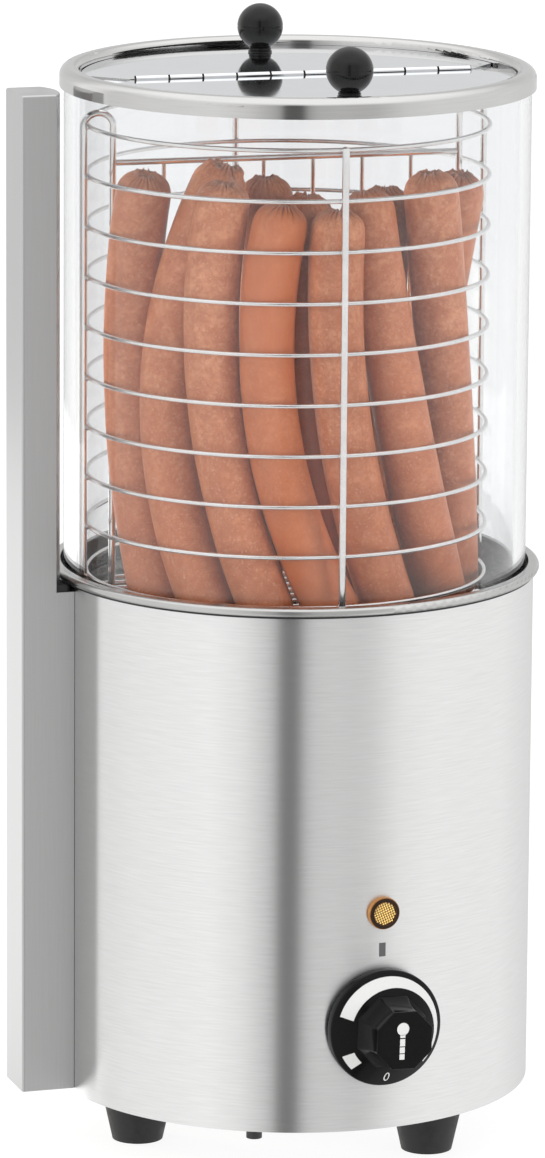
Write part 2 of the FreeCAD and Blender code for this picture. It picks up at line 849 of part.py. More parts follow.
def glass_cylinder():
    return revolved([
        (glass_in_r, ledge_z), (glass_r, ledge_z),
        (glass_r, glass_top, glass_edge_round), (glass_in_r, glass_top, glass_edge_round),
    ])


def lid_ring():
    skirt_foot = lid_top - lid_skirt_height
    ledge_foot = leaf_foot - lid_sheet
    ledge_end = lid_ring_r - lid_ledge_width
    return revolved([
        (lid_skirt_in_r, skirt_foot), (lid_r, skirt_foot), (lid_r, lid_top, lid_round),
        (lid_ring_r, lid_top, lid_inner_round), (lid_ring_r, leaf_foot), (ledge_end, leaf_foot),
        (ledge_end, ledge_foot), (lid_in_r, ledge_foot),
        (lid_in_r, glass_top, lid_inner_round - lid_sheet),
        (lid_skirt_in_r, glass_top, lid_round - lid_sheet),
    ])


def knob_place(side):
    return hinge_shift, side * knob_reach


def lid_leaf(side):
    # A half-moon plate with its own knuckles; side is -1 for the front leaf and 1 for the rear one
    near, far = sorted((side * leaf_edge, side * leaf_r))
    plate = disc(leaf_r, leaf_foot, leaf_top)
    plate = plate.common(block((-leaf_r, leaf_r), (near, far), (leaf_foot, leaf_top)))
    clip = hinge_length / 2 + barrel_r
    for end in (-1, 1):
        start = at(hinge_shift + end * clip, side * leaf_edge, leaf_foot)
        corner = at(end * leaf_r, side * leaf_edge, leaf_foot)
        finish = at(end * leaf_r, side * (leaf_edge + leaf_corner), leaf_foot)
        wedge = Part.Face(Part.makePolygon([start, corner, finish, start]))
        plate = plate.cut(wedge.extrude(at(0, 0, leaf_wall)))
    step = hinge_length / knuckles
    parts = [plate]
    for i in range(0 if side < 0 else 1, knuckles, 2):
        start = hinge_shift + i * step - hinge_length / 2 + knuckle_gap / 2
        end = start + step - knuckle_gap
        parts.append(rod(at(start, 0, hinge_z), at(end, 0, hinge_z), barrel_r))
        low, high = sorted((0, side * (leaf_edge + leaf_wall)))
        parts.append(block((start, end), (low, high), (leaf_foot, leaf_top)))
    pin_r = hinge_pin_d / 2 + pin_running_gap
    bore = rod(at(-leaf_r, 0, hinge_z), at(leaf_r, 0, hinge_z), pin_r)
    x, y = knob_place(side)
    hole = disc(screw_d / 2 + hole_gap, leaf_foot, leaf_top, x, y)
    return in_lid(fused(parts).cut(bore).cut(hole))


def hinge_pin():
    low, high = hinge_shift - hinge_length / 2, hinge_shift + hinge_length / 2
    return in_lid(rod(at(low, 0, hinge_z), at(high, 0, hinge_z), hinge_pin_d / 2))


def lid_knob(side):
    x, y = knob_place(side)
    ball_r = knob_ball_d / 2
    ball_z = leaf_top + knob_height - ball_r
    neck = disc(knob_neck_d / 2, leaf_top, ball_z, x, y)
    ball = Part.makeSphere(ball_r, at(x, y, ball_z))
    bore = disc(screw_d / 2 + thread_gap, leaf_top, leaf_top + knob_screw_depth + hole_gap, x, y)
    return in_lid(fused([neck, ball]).cut(bore))


def lid_knob_screw(side):
    x, y = knob_place(side)
    head = disc(screw_head_d / 2, leaf_foot - screw_head_height, leaf_foot, x, y)
    shank = disc(screw_d / 2, leaf_foot, leaf_top + knob_screw_depth, x, y)
    return in_lid(fused([head, shank]))


# Basket


def basket_hoops():
    levels = [lowest_hoop + i * hoop_pitch for i in range(hoops)]
    return in_basket(group([Part.makeTorus(hoop_r, hoop_wire_d / 2, at(0, 0, z), UP) for z in levels]))


def basket_posts():
    top = top_hoop + hoop_wire_d / 2
    return in_basket(group([disc(post_wire_d / 2, steam_top, top, 0, y) for y in (-post_r, post_r)]))


def basket_hooks():
    hooks = []
    for side in (-1, 1):
        outer, inner = side * post_r, side * hook_in_r
        crest = top_hoop + hook_r
        hooks.append(pipe([at(outer, 0, steam_top), at(outer, 0, crest), at(inner, 0, crest),
                           at(inner, 0, floor_top - weld_sink)], post_wire_d / 2, hook_r))
    return in_basket(group(hooks))


def basket_floor():
    shapes = [Part.makeTorus(hoop_r, hoop_wire_d / 2, at(0, 0, floor_hoop_z), UP)]
    for i in range(floor_wires):
        y = (i - (floor_wires - 1) / 2) * floor_wire_pitch
        half = math.sqrt(hoop_r ** 2 - y ** 2)
        shapes.append(rod(at(-half, y, floor_wire_z), at(half, y, floor_wire_z), floor_wire_d / 2))
    return in_basket(fused(shapes))


def divider():
    half = hook_in_r - post_wire_d / 2 + weld_sink
    shapes = [rod(at(-half, 0, divider_z), at(half, 0, divider_z), divider_bar_d / 2)]
    for i in range(divider_wires):
        x = (i - (divider_wires - 1) / 2) * divider_pitch
        shapes.append(disc(divider_wire_d / 2, floor_top - weld_sink, divider_z, x, 0))
    return in_basket(fused(shapes))


# Sausages


def sausage_point(place, z):
    inwards, angle = place
    reach = hoop_r - hoop_wire_d / 2 - sausage_gap - sausage_r - inwards * sausage_d
    turn = math.radians(angle)
    return at(reach * math.sin(turn), -reach * math.cos(turn), z)


def tail_level(place):
    # Height of a tail's centre, with the tail resting on the nearest floor wire
    y = sausage_point(place, 0).y
    aside = y - floor_wire_pitch * round(y / floor_wire_pitch)
    reach = sausage_r + floor_wire_d / 2 + sausage_rest_gap
    return floor_wire_z + math.sqrt(reach ** 2 - aside ** 2)


def sausage(head, waist, tail, top):
    low = tail_level(tail)
    high = floor_top + top * (top_hoop - floor_top) - sausage_r
    points = [sausage_point(tail, low), sausage_point(waist, (low + high) / 2), sausage_point(head, high)]
    spine = Part.Arc(*points).toShape()
    starts = spine.tangentAt(spine.FirstParameter)
    ends = spine.tangentAt(spine.LastParameter)
    profile = Part.Wire(Part.makeCircle(sausage_r, points[0], starts))
    body = Part.Wire([spine]).makePipeShell([profile], True, False)
    tail_cap = Part.makeSphere(sausage_r, points[0], starts * -1, 0, 90, 360)
    head_cap = Part.makeSphere(sausage_r, points[2], ends, 0, 90, 360)
    return body.multiFuse([tail_cap, head_cap])


def sausages(row):
    return in_basket(group([sausage(*places) for places in row]))


def pieces():
    feet = dict(zip(("foot_left", "foot_front", "foot_rear"), foot_places()))
    made = {name: foot(x, y) for name, (x, y) in feet.items()}
    for maker in (
        foot_screws, foot_nuts, bottom_plate, base_shell, rim_seal, water_pan, steam_plate,
        heater_plate, heater_tube, heater_clamp, tie_stud, tie_nuts,
        thermostat_body, thermostat_screws, thermostat_spindle, thermostat_knob, thermostat_sensor,
        lamp_bezel, lamp_lens, lamp_body, lamp_clip, limiter_body, limiter_sensor, reset_button,
        terminal_block, terminal_screws, heater_lead_live, heater_lead_neutral, supply_lead, lamp_lead,
        cable_gland, gland_nut, column_shell, column_cap, column_blocks, column_screws,
        glass_cylinder, lid_ring, hinge_pin,
        basket_hoops, basket_posts, basket_hooks, basket_floor, divider,
    ):
        made[maker.__name__] = maker()
    for name, side in (("front", -1), ("rear", 1)):
        made["lid_leaf_" + name] = lid_leaf(side)
        made["lid_knob_" + name] = lid_knob(side)
        made["lid_knob_screw_" + name] = lid_knob_screw(side)
    made["sausages_front_row"] = sausages(front_row)
    made["sausages_back_row"] = sausages(back_row)
    return made


os.makedirs("parts", exist_ok=True)
for name, shape in pieces().items():
    moved(shape, axis_x, axis_y, 0).exportStep("parts/" + name + ".step")
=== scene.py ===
import json
import math
import random

import bmesh
import bpy
from mathutils import Matrix, Vector, noise


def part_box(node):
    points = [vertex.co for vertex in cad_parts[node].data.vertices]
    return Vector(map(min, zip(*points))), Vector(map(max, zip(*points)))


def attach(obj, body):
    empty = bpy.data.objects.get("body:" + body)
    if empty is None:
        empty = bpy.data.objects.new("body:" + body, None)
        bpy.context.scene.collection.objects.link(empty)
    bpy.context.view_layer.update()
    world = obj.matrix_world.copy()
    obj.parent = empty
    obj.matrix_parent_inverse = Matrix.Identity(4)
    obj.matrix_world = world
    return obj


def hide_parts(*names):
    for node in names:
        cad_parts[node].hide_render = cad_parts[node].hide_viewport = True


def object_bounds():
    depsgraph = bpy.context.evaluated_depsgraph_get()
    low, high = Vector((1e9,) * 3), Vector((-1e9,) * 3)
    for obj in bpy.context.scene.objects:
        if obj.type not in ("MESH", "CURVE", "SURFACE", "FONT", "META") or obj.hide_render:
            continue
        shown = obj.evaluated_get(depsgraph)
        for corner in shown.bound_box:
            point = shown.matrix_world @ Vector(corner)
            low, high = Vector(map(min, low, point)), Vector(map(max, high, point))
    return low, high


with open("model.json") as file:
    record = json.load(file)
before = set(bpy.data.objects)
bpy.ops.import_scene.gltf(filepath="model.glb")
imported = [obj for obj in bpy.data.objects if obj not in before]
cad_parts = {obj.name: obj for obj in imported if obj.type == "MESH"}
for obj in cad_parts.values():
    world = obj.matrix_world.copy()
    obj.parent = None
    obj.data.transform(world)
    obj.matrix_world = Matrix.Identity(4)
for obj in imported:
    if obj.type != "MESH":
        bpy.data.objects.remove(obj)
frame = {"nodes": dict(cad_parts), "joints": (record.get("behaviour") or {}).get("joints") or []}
cadLow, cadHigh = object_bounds()
cad = frame["nodes"]
mm = 0.001

# The drum's axis and the basket's turn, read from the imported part
shellLow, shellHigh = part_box("base_shell")
drum = Vector(((shellLow.x + shellHigh.x) / 2, (shellLow.y + shellHigh.y) / 2, 0))
drumR = (shellHigh.x - shellLow.x) / 2
hinge = next(j for j in frame["joints"] if j["name"] == "lid_front_hinge")
basketTurn = math.atan2(-hinge["axis"][1], -hinge["axis"][0])
print("frame loaded:", len(cad), "nodes")


# Camera, fitted to the photograph
lens = {
    "target": (0, 0, 0.242),       # from the drum's axis
    "distance": 3.0415,
    "azimuth": 21.92,              # degrees to the left of the front
    "elevation": 12.15,
    "roll": 0.45,
    "image": (545, 1158),
    "focalPx": 7016.6,
    "targetPx": (294.14, 581.4),
    "sensor": 36.0,
    "far": 50,
}


def placeCamera():
    az, el, roll = (math.radians(lens[k]) for k in ("azimuth", "elevation", "roll"))
    back = Vector((-math.sin(az) * math.cos(el), -math.cos(az) * math.cos(el), math.sin(el)))
    level = Vector((math.cos(az), -math.sin(az), 0))
    right = level * math.cos(roll) + back.cross(level) * math.sin(roll)
    data = bpy.data.cameras.new("camera")
    width, height = lens["image"]
    data.sensor_width = lens["sensor"]
    data.lens = lens["sensor"] * lens["focalPx"] / height
    data.shift_x = (width / 2 - lens["targetPx"][0]) / height
    data.shift_y = (lens["targetPx"][1] - height / 2) / height
    data.clip_end = lens["far"]
    camera = bpy.data.objects.new("camera", data)
    turn = Matrix((right, back.cross(right), back)).transposed().to_4x4()
    place = drum + Vector(lens["target"]) + back * lens["distance"]
    camera.matrix_world = Matrix.Translation(place) @ turn
    bpy.context.scene.collection.objects.link(camera)
    bpy.context.scene.camera = camera


placeCamera()
print("camera placed")


# Node helpers
def add(tree, kind, inputs=None, **settings):
    node = tree.nodes.new("ShaderNode" + kind)
    for key, value in settings.items():
        setattr(node, key, value)
    for key, value in (inputs or {}).items():
        if isinstance(value, bpy.types.NodeSocket):
            tree.links.new(value, node.inputs[key])
        else:
            node.inputs[key].default_value = value
    return node


def finish(name, colour, roughness, metallic=0.0, **sockets):
    mat = bpy.data.materials.new(name)
    mat.use_nodes = True
    shader = mat.node_tree.nodes["Principled BSDF"]
    shader.inputs["Base Color"].default_value = (*colour, 1)
    shader.inputs["Roughness"].default_value = roughness
    shader.inputs["Metallic"].default_value = metallic
    for key, value in sockets.items():
        shader.inputs[key.replace("_", " ")].default_value = value
    return mat, mat.node_tree, shader


def spot(tree):
    return add(tree, "TexCoord").outputs["Object"]


def stretched(tree, scale):
    # the part's own coordinates in metres, times a scale for each axis
    return add(tree, "VectorMath", {0: spot(tree), 1: scale}, operation="MULTIPLY").outputs[0]


def roundDrum(tree, around, up):
    # how far round the drum and how high, each in turns of a pattern
    local = add(tree, "VectorMath", {0: spot(tree), 1: drum}, operation="SUBTRACT").outputs[0]
    part = add(tree, "SeparateXYZ", {0: local})
    angle = add(tree, "Math", {0: part.outputs[1], 1: part.outputs[0]}, operation="ARCTAN2").outputs[0]
    length = add(tree, "VectorMath", {0: local}, operation="LENGTH").outputs["Value"]
    flat = add(tree, "CombineXYZ", {0: angle, 1: part.outputs[2], 2: length}).outputs[0]
    return add(tree, "VectorMath", {0: flat, 1: (around, up, up)}, operation="MULTIPLY").outputs[0]


def grain(tree, vector, scale, detail=3.0):
    inputs = {"Vector": vector, "Scale": scale, "Detail": detail, "Roughness": 0.55}
    return add(tree, "TexNoise", inputs).outputs["Fac"]


def spread(tree, value, low, high, fromLow=0.3, fromHigh=0.7):
    inputs = {"Value": value, "From Min": fromLow, "From Max": fromHigh, "To Min": low, "To Max": high}
    return add(tree, "MapRange", inputs).outputs["Result"]


def blended(tree, share, first, second):
    node = add(tree, "Mix", data_type="RGBA")
    for socket, value in zip((node.inputs[0], node.inputs[6], node.inputs[7]), (share, first, second)):
        if isinstance(value, bpy.types.NodeSocket):
            tree.links.new(value, socket)
        else:
            socket.default_value = value if isinstance(value, float) else (*value, 1)
    return node.outputs[2]


def roughened(tree, shader, value, low, high):
    tree.links.new(spread(tree, value, low, high), shader.inputs["Roughness"])


def tinted(tree, shader, value, first, second):
    share = spread(tree, value, 0.0, 1.0)
    tree.links.new(blended(tree, share, first, second), shader.inputs["Base Color"])


def dented(tree, shader, value, depth, strength):
    bump = add(tree, "Bump", {"Height": value, "Distance": depth, "Strength": strength})
    tree.links.new(bump.outputs[0], shader.inputs["Normal"])


def combed(tree, shader, turn):
    # the spread of a brushed surface's shine, across its scratches
    tangent = add(tree, "Tangent", direction_type="RADIAL", axis="Z")
    tree.links.new(tangent.outputs[0], shader.inputs["Tangent"])
    shader.inputs["Anisotropic Rotation"].default_value = turn


# Metal finishes
def brushedShell():
    mat, tree, shader = finish("brushedShell", (0.74, 0.74, 0.735), 0.27, 1.0, Anisotropic=0.95)
    fine = grain(tree, roundDrum(tree, 8.0, 1500.0), 1.0, 3.0)
    roughened(tree, shader, fine, 0.269, 0.271)
    tinted(tree, shader, fine, (0.715, 0.715, 0.71), (0.765, 0.765, 0.76))
    combed(tree, shader, 0.25)
    return mat


def satinColumn():
    mat, tree, shader = finish("satinColumn", (0.52, 0.52, 0.52), 0.38, 1.0, Anisotropic=0.4)
    lines = grain(tree, stretched(tree, (3000.0, 3000.0, 25.0)), 1.0, 3.0)
    roughened(tree, shader, lines, 0.35, 0.42)
    tinted(tree, shader, lines, (0.5, 0.5, 0.5), (0.54, 0.54, 0.535))
    dented(tree, shader, lines, 0.00001, 0.3)
    combed(tree, shader, 0.0)
    return mat


hingeLine = {
    "knuckles": 10,
    "length": 149.0 * mm,
    "shift": 2.5 * mm,             # middle of the hinge from the lid's middle
    "barrel": 1.8 * mm,            # half width of the barrel and its joints
    "slotShade": 3.3 * mm,              # how far the painted shade of the cut-outs reaches from the hinge line
    "jointShade": 0.45 * mm,            # half width of the painted shade in a joint between knuckles
}


def hingeShade(tree):
    # painted shade: 1 in the joints between knuckles and in the front leaf's cut-outs beside alternate
    # knuckles, 0 elsewhere
    along = Vector((math.cos(basketTurn), math.sin(basketTurn), 0))
    across = Vector((-along.y, along.x, 0))
    seat = Vector(hinge["pos_m"]) + along * (hingeLine["shift"] - hingeLine["length"] / 2)
    local = add(tree, "VectorMath", {0: spot(tree), 1: seat}, operation="SUBTRACT").outputs[0]
    run = add(tree, "VectorMath", {0: local, 1: along}, operation="DOT_PRODUCT").outputs["Value"]
    side = add(tree, "VectorMath", {0: local, 1: across}, operation="DOT_PRODUCT").outputs["Value"]

    def within(value, middle, reach):
        return add(tree, "Math", {0: value, 1: middle, 2: reach}, operation="COMPARE").outputs[0]

    def both(first, second):
        return add(tree, "Math", {0: first, 1: second}, operation="MULTIPLY").outputs[0]

    step = hingeLine["length"] / hingeLine["knuckles"]
    onHinge = within(run, hingeLine["length"] / 2, hingeLine["length"] / 2)
    pair = add(tree, "Math", {0: run, 1: 2 * step}, operation="FLOORED_MODULO").outputs[0]
    away = add(tree, "Math", {0: run, 1: step / 2}, operation="PINGPONG").outputs[0]   # from the nearest joint
    jointShade = both(within(away, 0.0, hingeLine["jointShade"]), within(side, 0.0, hingeLine["barrel"]))
    deep = (hingeLine["slotShade"] - hingeLine["barrel"]) / 2
    slotShade = both(within(pair, 1.5 * step, step / 2), within(side, -hingeLine["barrel"] - deep, deep))
    return both(onHinge, add(tree, "Math", {0: jointShade, 1: slotShade}, operation="MAXIMUM").outputs[0])


def polishedSheet():
    mat, tree, shader = finish("polishedSheet", (0.8, 0.8, 0.805), 0.06, 1.0)
    haze = grain(tree, spot(tree), 70.0, 4.0)
    shade = hingeShade(tree)
    sheet = blended(tree, spread(tree, haze, 0.0, 1.0), (0.765, 0.78, 0.8), (0.805, 0.82, 0.84))
    # painted shade: the hinge's joints and cut-outs turn near black and dull
    tree.links.new(blended(tree, shade, sheet, (0.012, 0.012, 0.012)), shader.inputs["Base Color"])
    dull = add(tree, "Math", {0: spread(tree, haze, 0.035, 0.08), 1: shade}, operation="MAXIMUM").outputs[0]
    tree.links.new(dull, shader.inputs["Roughness"])
    dented(tree, shader, grain(tree, spot(tree), 45.0, 1.0), 0.00004, 0.2)
    return mat


def rolledRing():
    mat, tree, shader = finish("rolledRing", (0.55, 0.547, 0.54), 0.1, 1.0)
    haze = grain(tree, roundDrum(tree, 6.0, 900.0), 1.0, 3.0)
    roughened(tree, shader, haze, 0.08, 0.12)
    tinted(tree, shader, haze, (0.535, 0.532, 0.525), (0.565, 0.562, 0.555))
    return mat


def spunSteel():
    # dark base colour: painted shade for the pan and steam plate under the basket, where little light reaches
    mat, tree, shader = finish("spunSteel", (0.5, 0.5, 0.49), 0.24, 1.0)
    haze = grain(tree, spot(tree), 120.0, 4.0)
    roughened(tree, shader, haze, 0.22, 0.27)
    tinted(tree, shader, grain(tree, spot(tree), 60.0), (0.49, 0.49, 0.48), (0.52, 0.52, 0.51))
    return mat


def drawnWire():
    mat, tree, shader = finish("drawnWire", (0.84, 0.832, 0.82), 0.16, 1.0)
    marks = grain(tree, spot(tree), 900.0, 4.0)
    roughened(tree, shader, marks, 0.11, 0.22)
    tinted(tree, shader, grain(tree, spot(tree), 130.0), (0.8, 0.792, 0.78), (0.88, 0.872, 0.86))
    dented(tree, shader, marks, 0.00002, 0.2)
    return mat


def zincPlate():
    mat, tree, shader = finish("zincPlate", (0.62, 0.63, 0.66), 0.3, 1.0)
    bloom = grain(tree, spot(tree), 260.0, 5.0)
    roughened(tree, shader, bloom, 0.22, 0.42)
    tinted(tree, shader, bloom, (0.55, 0.57, 0.6), (0.7, 0.7, 0.68))
    return mat


def heatedSteel():
    mat, tree, shader = finish("heatedSteel", (0.36, 0.33, 0.3), 0.4, 1.0)
    bands = grain(tree, spot(tree), 55.0, 4.0)
    roughened(tree, shader, bands, 0.3, 0.55)
    tinted(tree, shader, bands, (0.28, 0.26, 0.27), (0.46, 0.37, 0.26))
    return mat


def castPlate():
    mat, tree, shader = finish("castPlate", (0.68, 0.69, 0.7), 0.5, 1.0)
    pits = grain(tree, spot(tree), 700.0, 5.0)
    roughened(tree, shader, pits, 0.42, 0.62)
    tinted(tree, shader, grain(tree, spot(tree), 60.0), (0.6, 0.61, 0.62), (0.73, 0.74, 0.75))
    dented(tree, shader, pits, 0.0001, 0.5)
    return mat


def copperLine():
    mat, tree, shader = finish("copperLine", (0.72, 0.36, 0.22), 0.3, 1.0)
    age = grain(tree, spot(tree), 180.0, 4.0)
    roughened(tree, shader, age, 0.22, 0.45)
    tinted(tree, shader, age, (0.5, 0.24, 0.15), (0.78, 0.42, 0.27))
    return mat


# Glass, plastic and rubber
def tubeGlass():
    mat, tree, shader = finish(
        "tubeGlass", (0.89, 0.897, 0.905), 0.0, 0.0, Transmission_Weight=1.0, IOR=1.47
    )
    draw = grain(tree, stretched(tree, (60.0, 60.0, 6.0)), 1.0, 1.0)  # long ripples from drawing the tube
    dented(tree, shader, draw, 0.00004, 0.12)
    return mat


def ballBlack():
    mat, tree, shader = finish("ballBlack", (0.006, 0.006, 0.006), 0.1, 0.0, Specular_IOR_Level=0.26)
    skin = grain(tree, spot(tree), 300.0, 4.0)
    roughened(tree, shader, skin, 0.08, 0.12)
    tinted(tree, shader, skin, (0.006, 0.006, 0.006), (0.009, 0.009, 0.009))
    return mat


def dialBlack():
    mat, tree, shader = finish("dialBlack", (0.004, 0.004, 0.004), 0.14, 0.0, Specular_IOR_Level=0.1)
    skin = grain(tree, spot(tree), 1500.0, 3.0)
    roughened(tree, shader, skin, 0.1, 0.15)
    tinted(tree, shader, skin, (0.003, 0.003, 0.003), (0.005, 0.005, 0.005))
    dented(tree, shader, skin, 0.00001, 0.1)
    return mat


def mouldedBlack():
    mat, tree, shader = finish("mouldedBlack", (0.016, 0.016, 0.017), 0.45, 0.0)
    spark = grain(tree, spot(tree), 1300.0, 3.0)
    roughened(tree, shader, spark, 0.38, 0.6)
    tinted(tree, shader, grain(tree, spot(tree), 140.0), (0.012, 0.012, 0.012), (0.024, 0.024, 0.025))
    dented(tree, shader, spark, 0.00005, 0.5)
    return mat


def footRubber():
    mat, tree, shader = finish("footRubber", (0.014, 0.014, 0.014), 0.5, 0.0, Specular_IOR_Level=0.35)
    dust = grain(tree, spot(tree), 330.0, 6.0)
    roughened(tree, shader, dust, 0.42, 0.68)
    tinted(tree, shader, dust, (0.009, 0.009, 0.009), (0.02, 0.02, 0.02))
    dented(tree, shader, grain(tree, spot(tree), 1600.0, 2.0), 0.00006, 0.5)
    return mat


def whiteMoulding():
    mat, tree, shader = finish("whiteMoulding", (0.78, 0.78, 0.74), 0.45, 0.0)
    skin = grain(tree, spot(tree), 600.0, 4.0)
    roughened(tree, shader, skin, 0.38, 0.55)
    tinted(tree, shader, grain(tree, spot(tree), 80.0), (0.72, 0.72, 0.67), (0.82, 0.82, 0.79))
    return mat


def blockCeramic():
    mat, tree, shader = finish("blockCeramic", (0.82, 0.79, 0.72), 0.7, 0.0)
    body = grain(tree, spot(tree), 900.0, 5.0)
    roughened(tree, shader, body, 0.6, 0.82)
    tinted(tree, shader, body, (0.74, 0.71, 0.63), (0.87, 0.85, 0.8))
    dented(tree, shader, body, 0.00008, 0.5)
    return mat


def siliconeLead():
    mat, tree, shader = finish("siliconeLead", (0.36, 0.07, 0.05), 0.5, 0.0)
    skin = grain(tree, spot(tree), 500.0, 4.0)
    roughened(tree, shader, skin, 0.42, 0.6)
    tinted(tree, shader, skin, (0.28, 0.05, 0.035), (0.42, 0.09, 0.06))
    return mat


def amberLens():
    # painted light: the lit copy of the lens, brightened by an amber emission glow
    mat, tree, shader = finish(
        "amberLens", (0.9, 0.6, 0.18), 0.1, 0.0, IOR=1.49,
        Emission_Color=(1.0, 0.66, 0.22, 1), Emission_Strength=0.3,
    )
    cloud = grain(tree, spot(tree), 1400.0, 3.0)
    roughened(tree, shader, cloud, 0.08, 0.2)
    tinted(tree, shader, cloud, (0.8, 0.5, 0.12), (0.98, 0.74, 0.3))
    return mat


def amberShade():
    # painted shade: the dark copy of the amber lens, for the sunk plate and the shaded sides of the pyramids
    mat, tree, shader = finish("amberShade", (0.05, 0.018, 0.004), 0.4)
    cloud = grain(tree, spot(tree), 1400.0, 3.0)
    roughened(tree, shader, cloud, 0.3, 0.5)
    tinted(tree, shader, cloud, (0.03, 0.011, 0.003), (0.08, 0.03, 0.006))
    return mat


bezelEdge = (6.5 * mm, 7.0 * mm)   # radii between which the dark face turns amber


def amberBezel():
    mat, tree, shader = finish("amberBezel", (0.03, 0.012, 0.005), 0.1, 0.0, Specular_IOR_Level=0.2)
    low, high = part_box("lamp_bezel")
    middle = Vector(((low.x + high.x) / 2, 0, (low.z + high.z) / 2))
    flat = stretched(tree, (1.0, 0.0, 1.0))
    away = add(tree, "VectorMath", {0: flat, 1: middle}, operation="SUBTRACT")
    radius = add(tree, "VectorMath", {0: away.outputs[0]}, operation="LENGTH").outputs["Value"]
    cloud = grain(tree, spot(tree), 500.0, 3.0)
    inner = blended(tree, cloud, (0.012, 0.006, 0.004), (0.028, 0.012, 0.005))
    outer = blended(tree, cloud, (0.34, 0.14, 0.035), (0.5, 0.24, 0.07))
    edge = spread(tree, radius, 0.0, 1.0, *bezelEdge)
    tree.links.new(blended(tree, edge, inner, outer), shader.inputs["Base Color"])
    roughened(tree, shader, cloud, 0.07, 0.14)
    return mat


def printInk(name, pale, dark):
    mat, tree, shader = finish(name, pale, 0.5, 0.0)
    screen = grain(tree, spot(tree), 2200.0, 4.0)
    roughened(tree, shader, screen, 0.42, 0.62)
    tinted(tree, shader, screen, dark, pale)
    return mat


def sausageSkin():
    mat, tree, shader = finish(
        "sausageSkin", (0.45, 0.2, 0.12), 0.42, 0.0,
        Subsurface_Weight=0.1, Subsurface_Radius=(1.0, 0.35, 0.2), Subsurface_Scale=0.003,
        Coat_Weight=0.1, Coat_Roughness=0.35,
    )
    skin = add(tree, "Attribute", attribute_name="skin")
    part = add(tree, "SeparateColor", {0: skin.outputs["Color"]})
    tip, warm, fold = part.outputs[0], part.outputs[1], part.outputs[2]
    blotch = grain(tree, spot(tree), 140.0, 4.0)
    fine = grain(tree, spot(tree), 480.0, 4.0)
    speck = grain(tree, spot(tree), 1100.0, 1.0)
    height = add(tree, "SeparateXYZ", {0: spot(tree)}).outputs[2]
    patches = spread(tree, blotch, 0.0, 1.0, 0.36, 0.64)
    pale = blended(tree, patches, (0.47, 0.15, 0.06), (0.66, 0.29, 0.152))
    deep = blended(tree, patches, (0.43, 0.12, 0.042), (0.58, 0.205, 0.092))
    base = blended(tree, spread(tree, height, 0.0, 1.0, 0.25, 0.38), deep, pale)   # deeper near the floor
    mottled = blended(tree, spread(tree, fine, 0.0, 0.7, 0.38, 0.62), base, (0.44, 0.135, 0.052))
    flecked = blended(tree, spread(tree, speck, 0.0, 0.5, 0.6, 0.7), mottled, (0.74, 0.44, 0.29))
    toasted = blended(tree, warm, flecked, (0.55, 0.15, 0.05))
    tipped = blended(tree, tip, toasted, (0.56, 0.37, 0.3))
    # painted shade: darker in the creases and the sunk tip, from the skin attribute's third channel
    creaseShaded = blended(tree, fold, tipped, (0.2, 0.06, 0.03))
    tree.links.new(creaseShaded, shader.inputs["Base Color"])
    roughened(tree, shader, blotch, 0.36, 0.5)
    dented(tree, shader, fine, 0.00015, 0.3)
    return mat


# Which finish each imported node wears
nodeFinishes = {
    brushedShell: ["base_shell"],
    satinColumn: ["column_shell"],
    polishedSheet: ["lid_leaf_front", "lid_leaf_rear"],
    rolledRing: ["lid_ring"],
    spunSteel: ["water_pan", "steam_plate"],
    drawnWire: ["basket_hoops", "basket_posts", "basket_hooks", "basket_floor", "divider"],
    zincPlate: [
        "foot_screws", "foot_nuts", "bottom_plate", "heater_clamp", "tie_stud", "tie_nuts",
        "thermostat_screws", "thermostat_spindle", "lamp_clip", "terminal_screws", "column_blocks",
        "column_screws", "lid_knob_screw_front", "lid_knob_screw_rear",
    ],
    heatedSteel: ["heater_tube", "hinge_pin"],
    castPlate: ["heater_plate"],
    copperLine: ["thermostat_sensor", "limiter_sensor"],
    tubeGlass: ["glass_cylinder"],
    ballBlack: ["lid_knob_front", "lid_knob_rear"],
    dialBlack: ["thermostat_knob"],
    mouldedBlack: ["cable_gland", "gland_nut", "column_cap", "reset_button"],
    footRubber: ["foot_left", "foot_front", "foot_rear", "rim_seal"],
    whiteMoulding: ["thermostat_body", "lamp_body", "limiter_body"],
    blockCeramic: ["terminal_block"],
    siliconeLead: ["heater_lead_live", "heater_lead_neutral", "supply_lead", "lamp_lead"],
    amberLens: ["lamp_lens"],
    amberBezel: ["lamp_bezel"],
    sausageSkin: ["sausages_front_row", "sausages_back_row"],
}
finishes = {}
for make, names in nodeFinishes.items():
    finishes[make] = make()
    for name in names:
        cad[name].data.materials.clear()
        cad[name].data.materials.append(finishes[make])
cad["glass_cylinder"].visible_shadow = False   # lamps shine through clear glass
print("finishes made:", len(finishes))


# Mesh helpers
def meshPiece(name, points, faces, mat, body, smooth=True):
    mesh = bpy.data.meshes.new(name)
    mesh.from_pydata([tuple(p) for p in points], [], faces)
    mesh.polygons.foreach_set("use_smooth", [smooth] * len(mesh.polygons))
    mesh.update()
    mesh.materials.append(mat)
    piece = bpy.data.objects.new(name, mesh)
    bpy.context.scene.collection.objects.link(piece)
    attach(piece, body)
    return piece


def ringFaces(rings, around, first=0):
    # quads between rings of points that follow each other
    faces = []
    for i in range(rings - 1):
        for j in range(around):
            a, b = first + i * around + j, first + i * around + (j + 1) % around
            faces.append((a, b, b + around, a + around))
    return faces


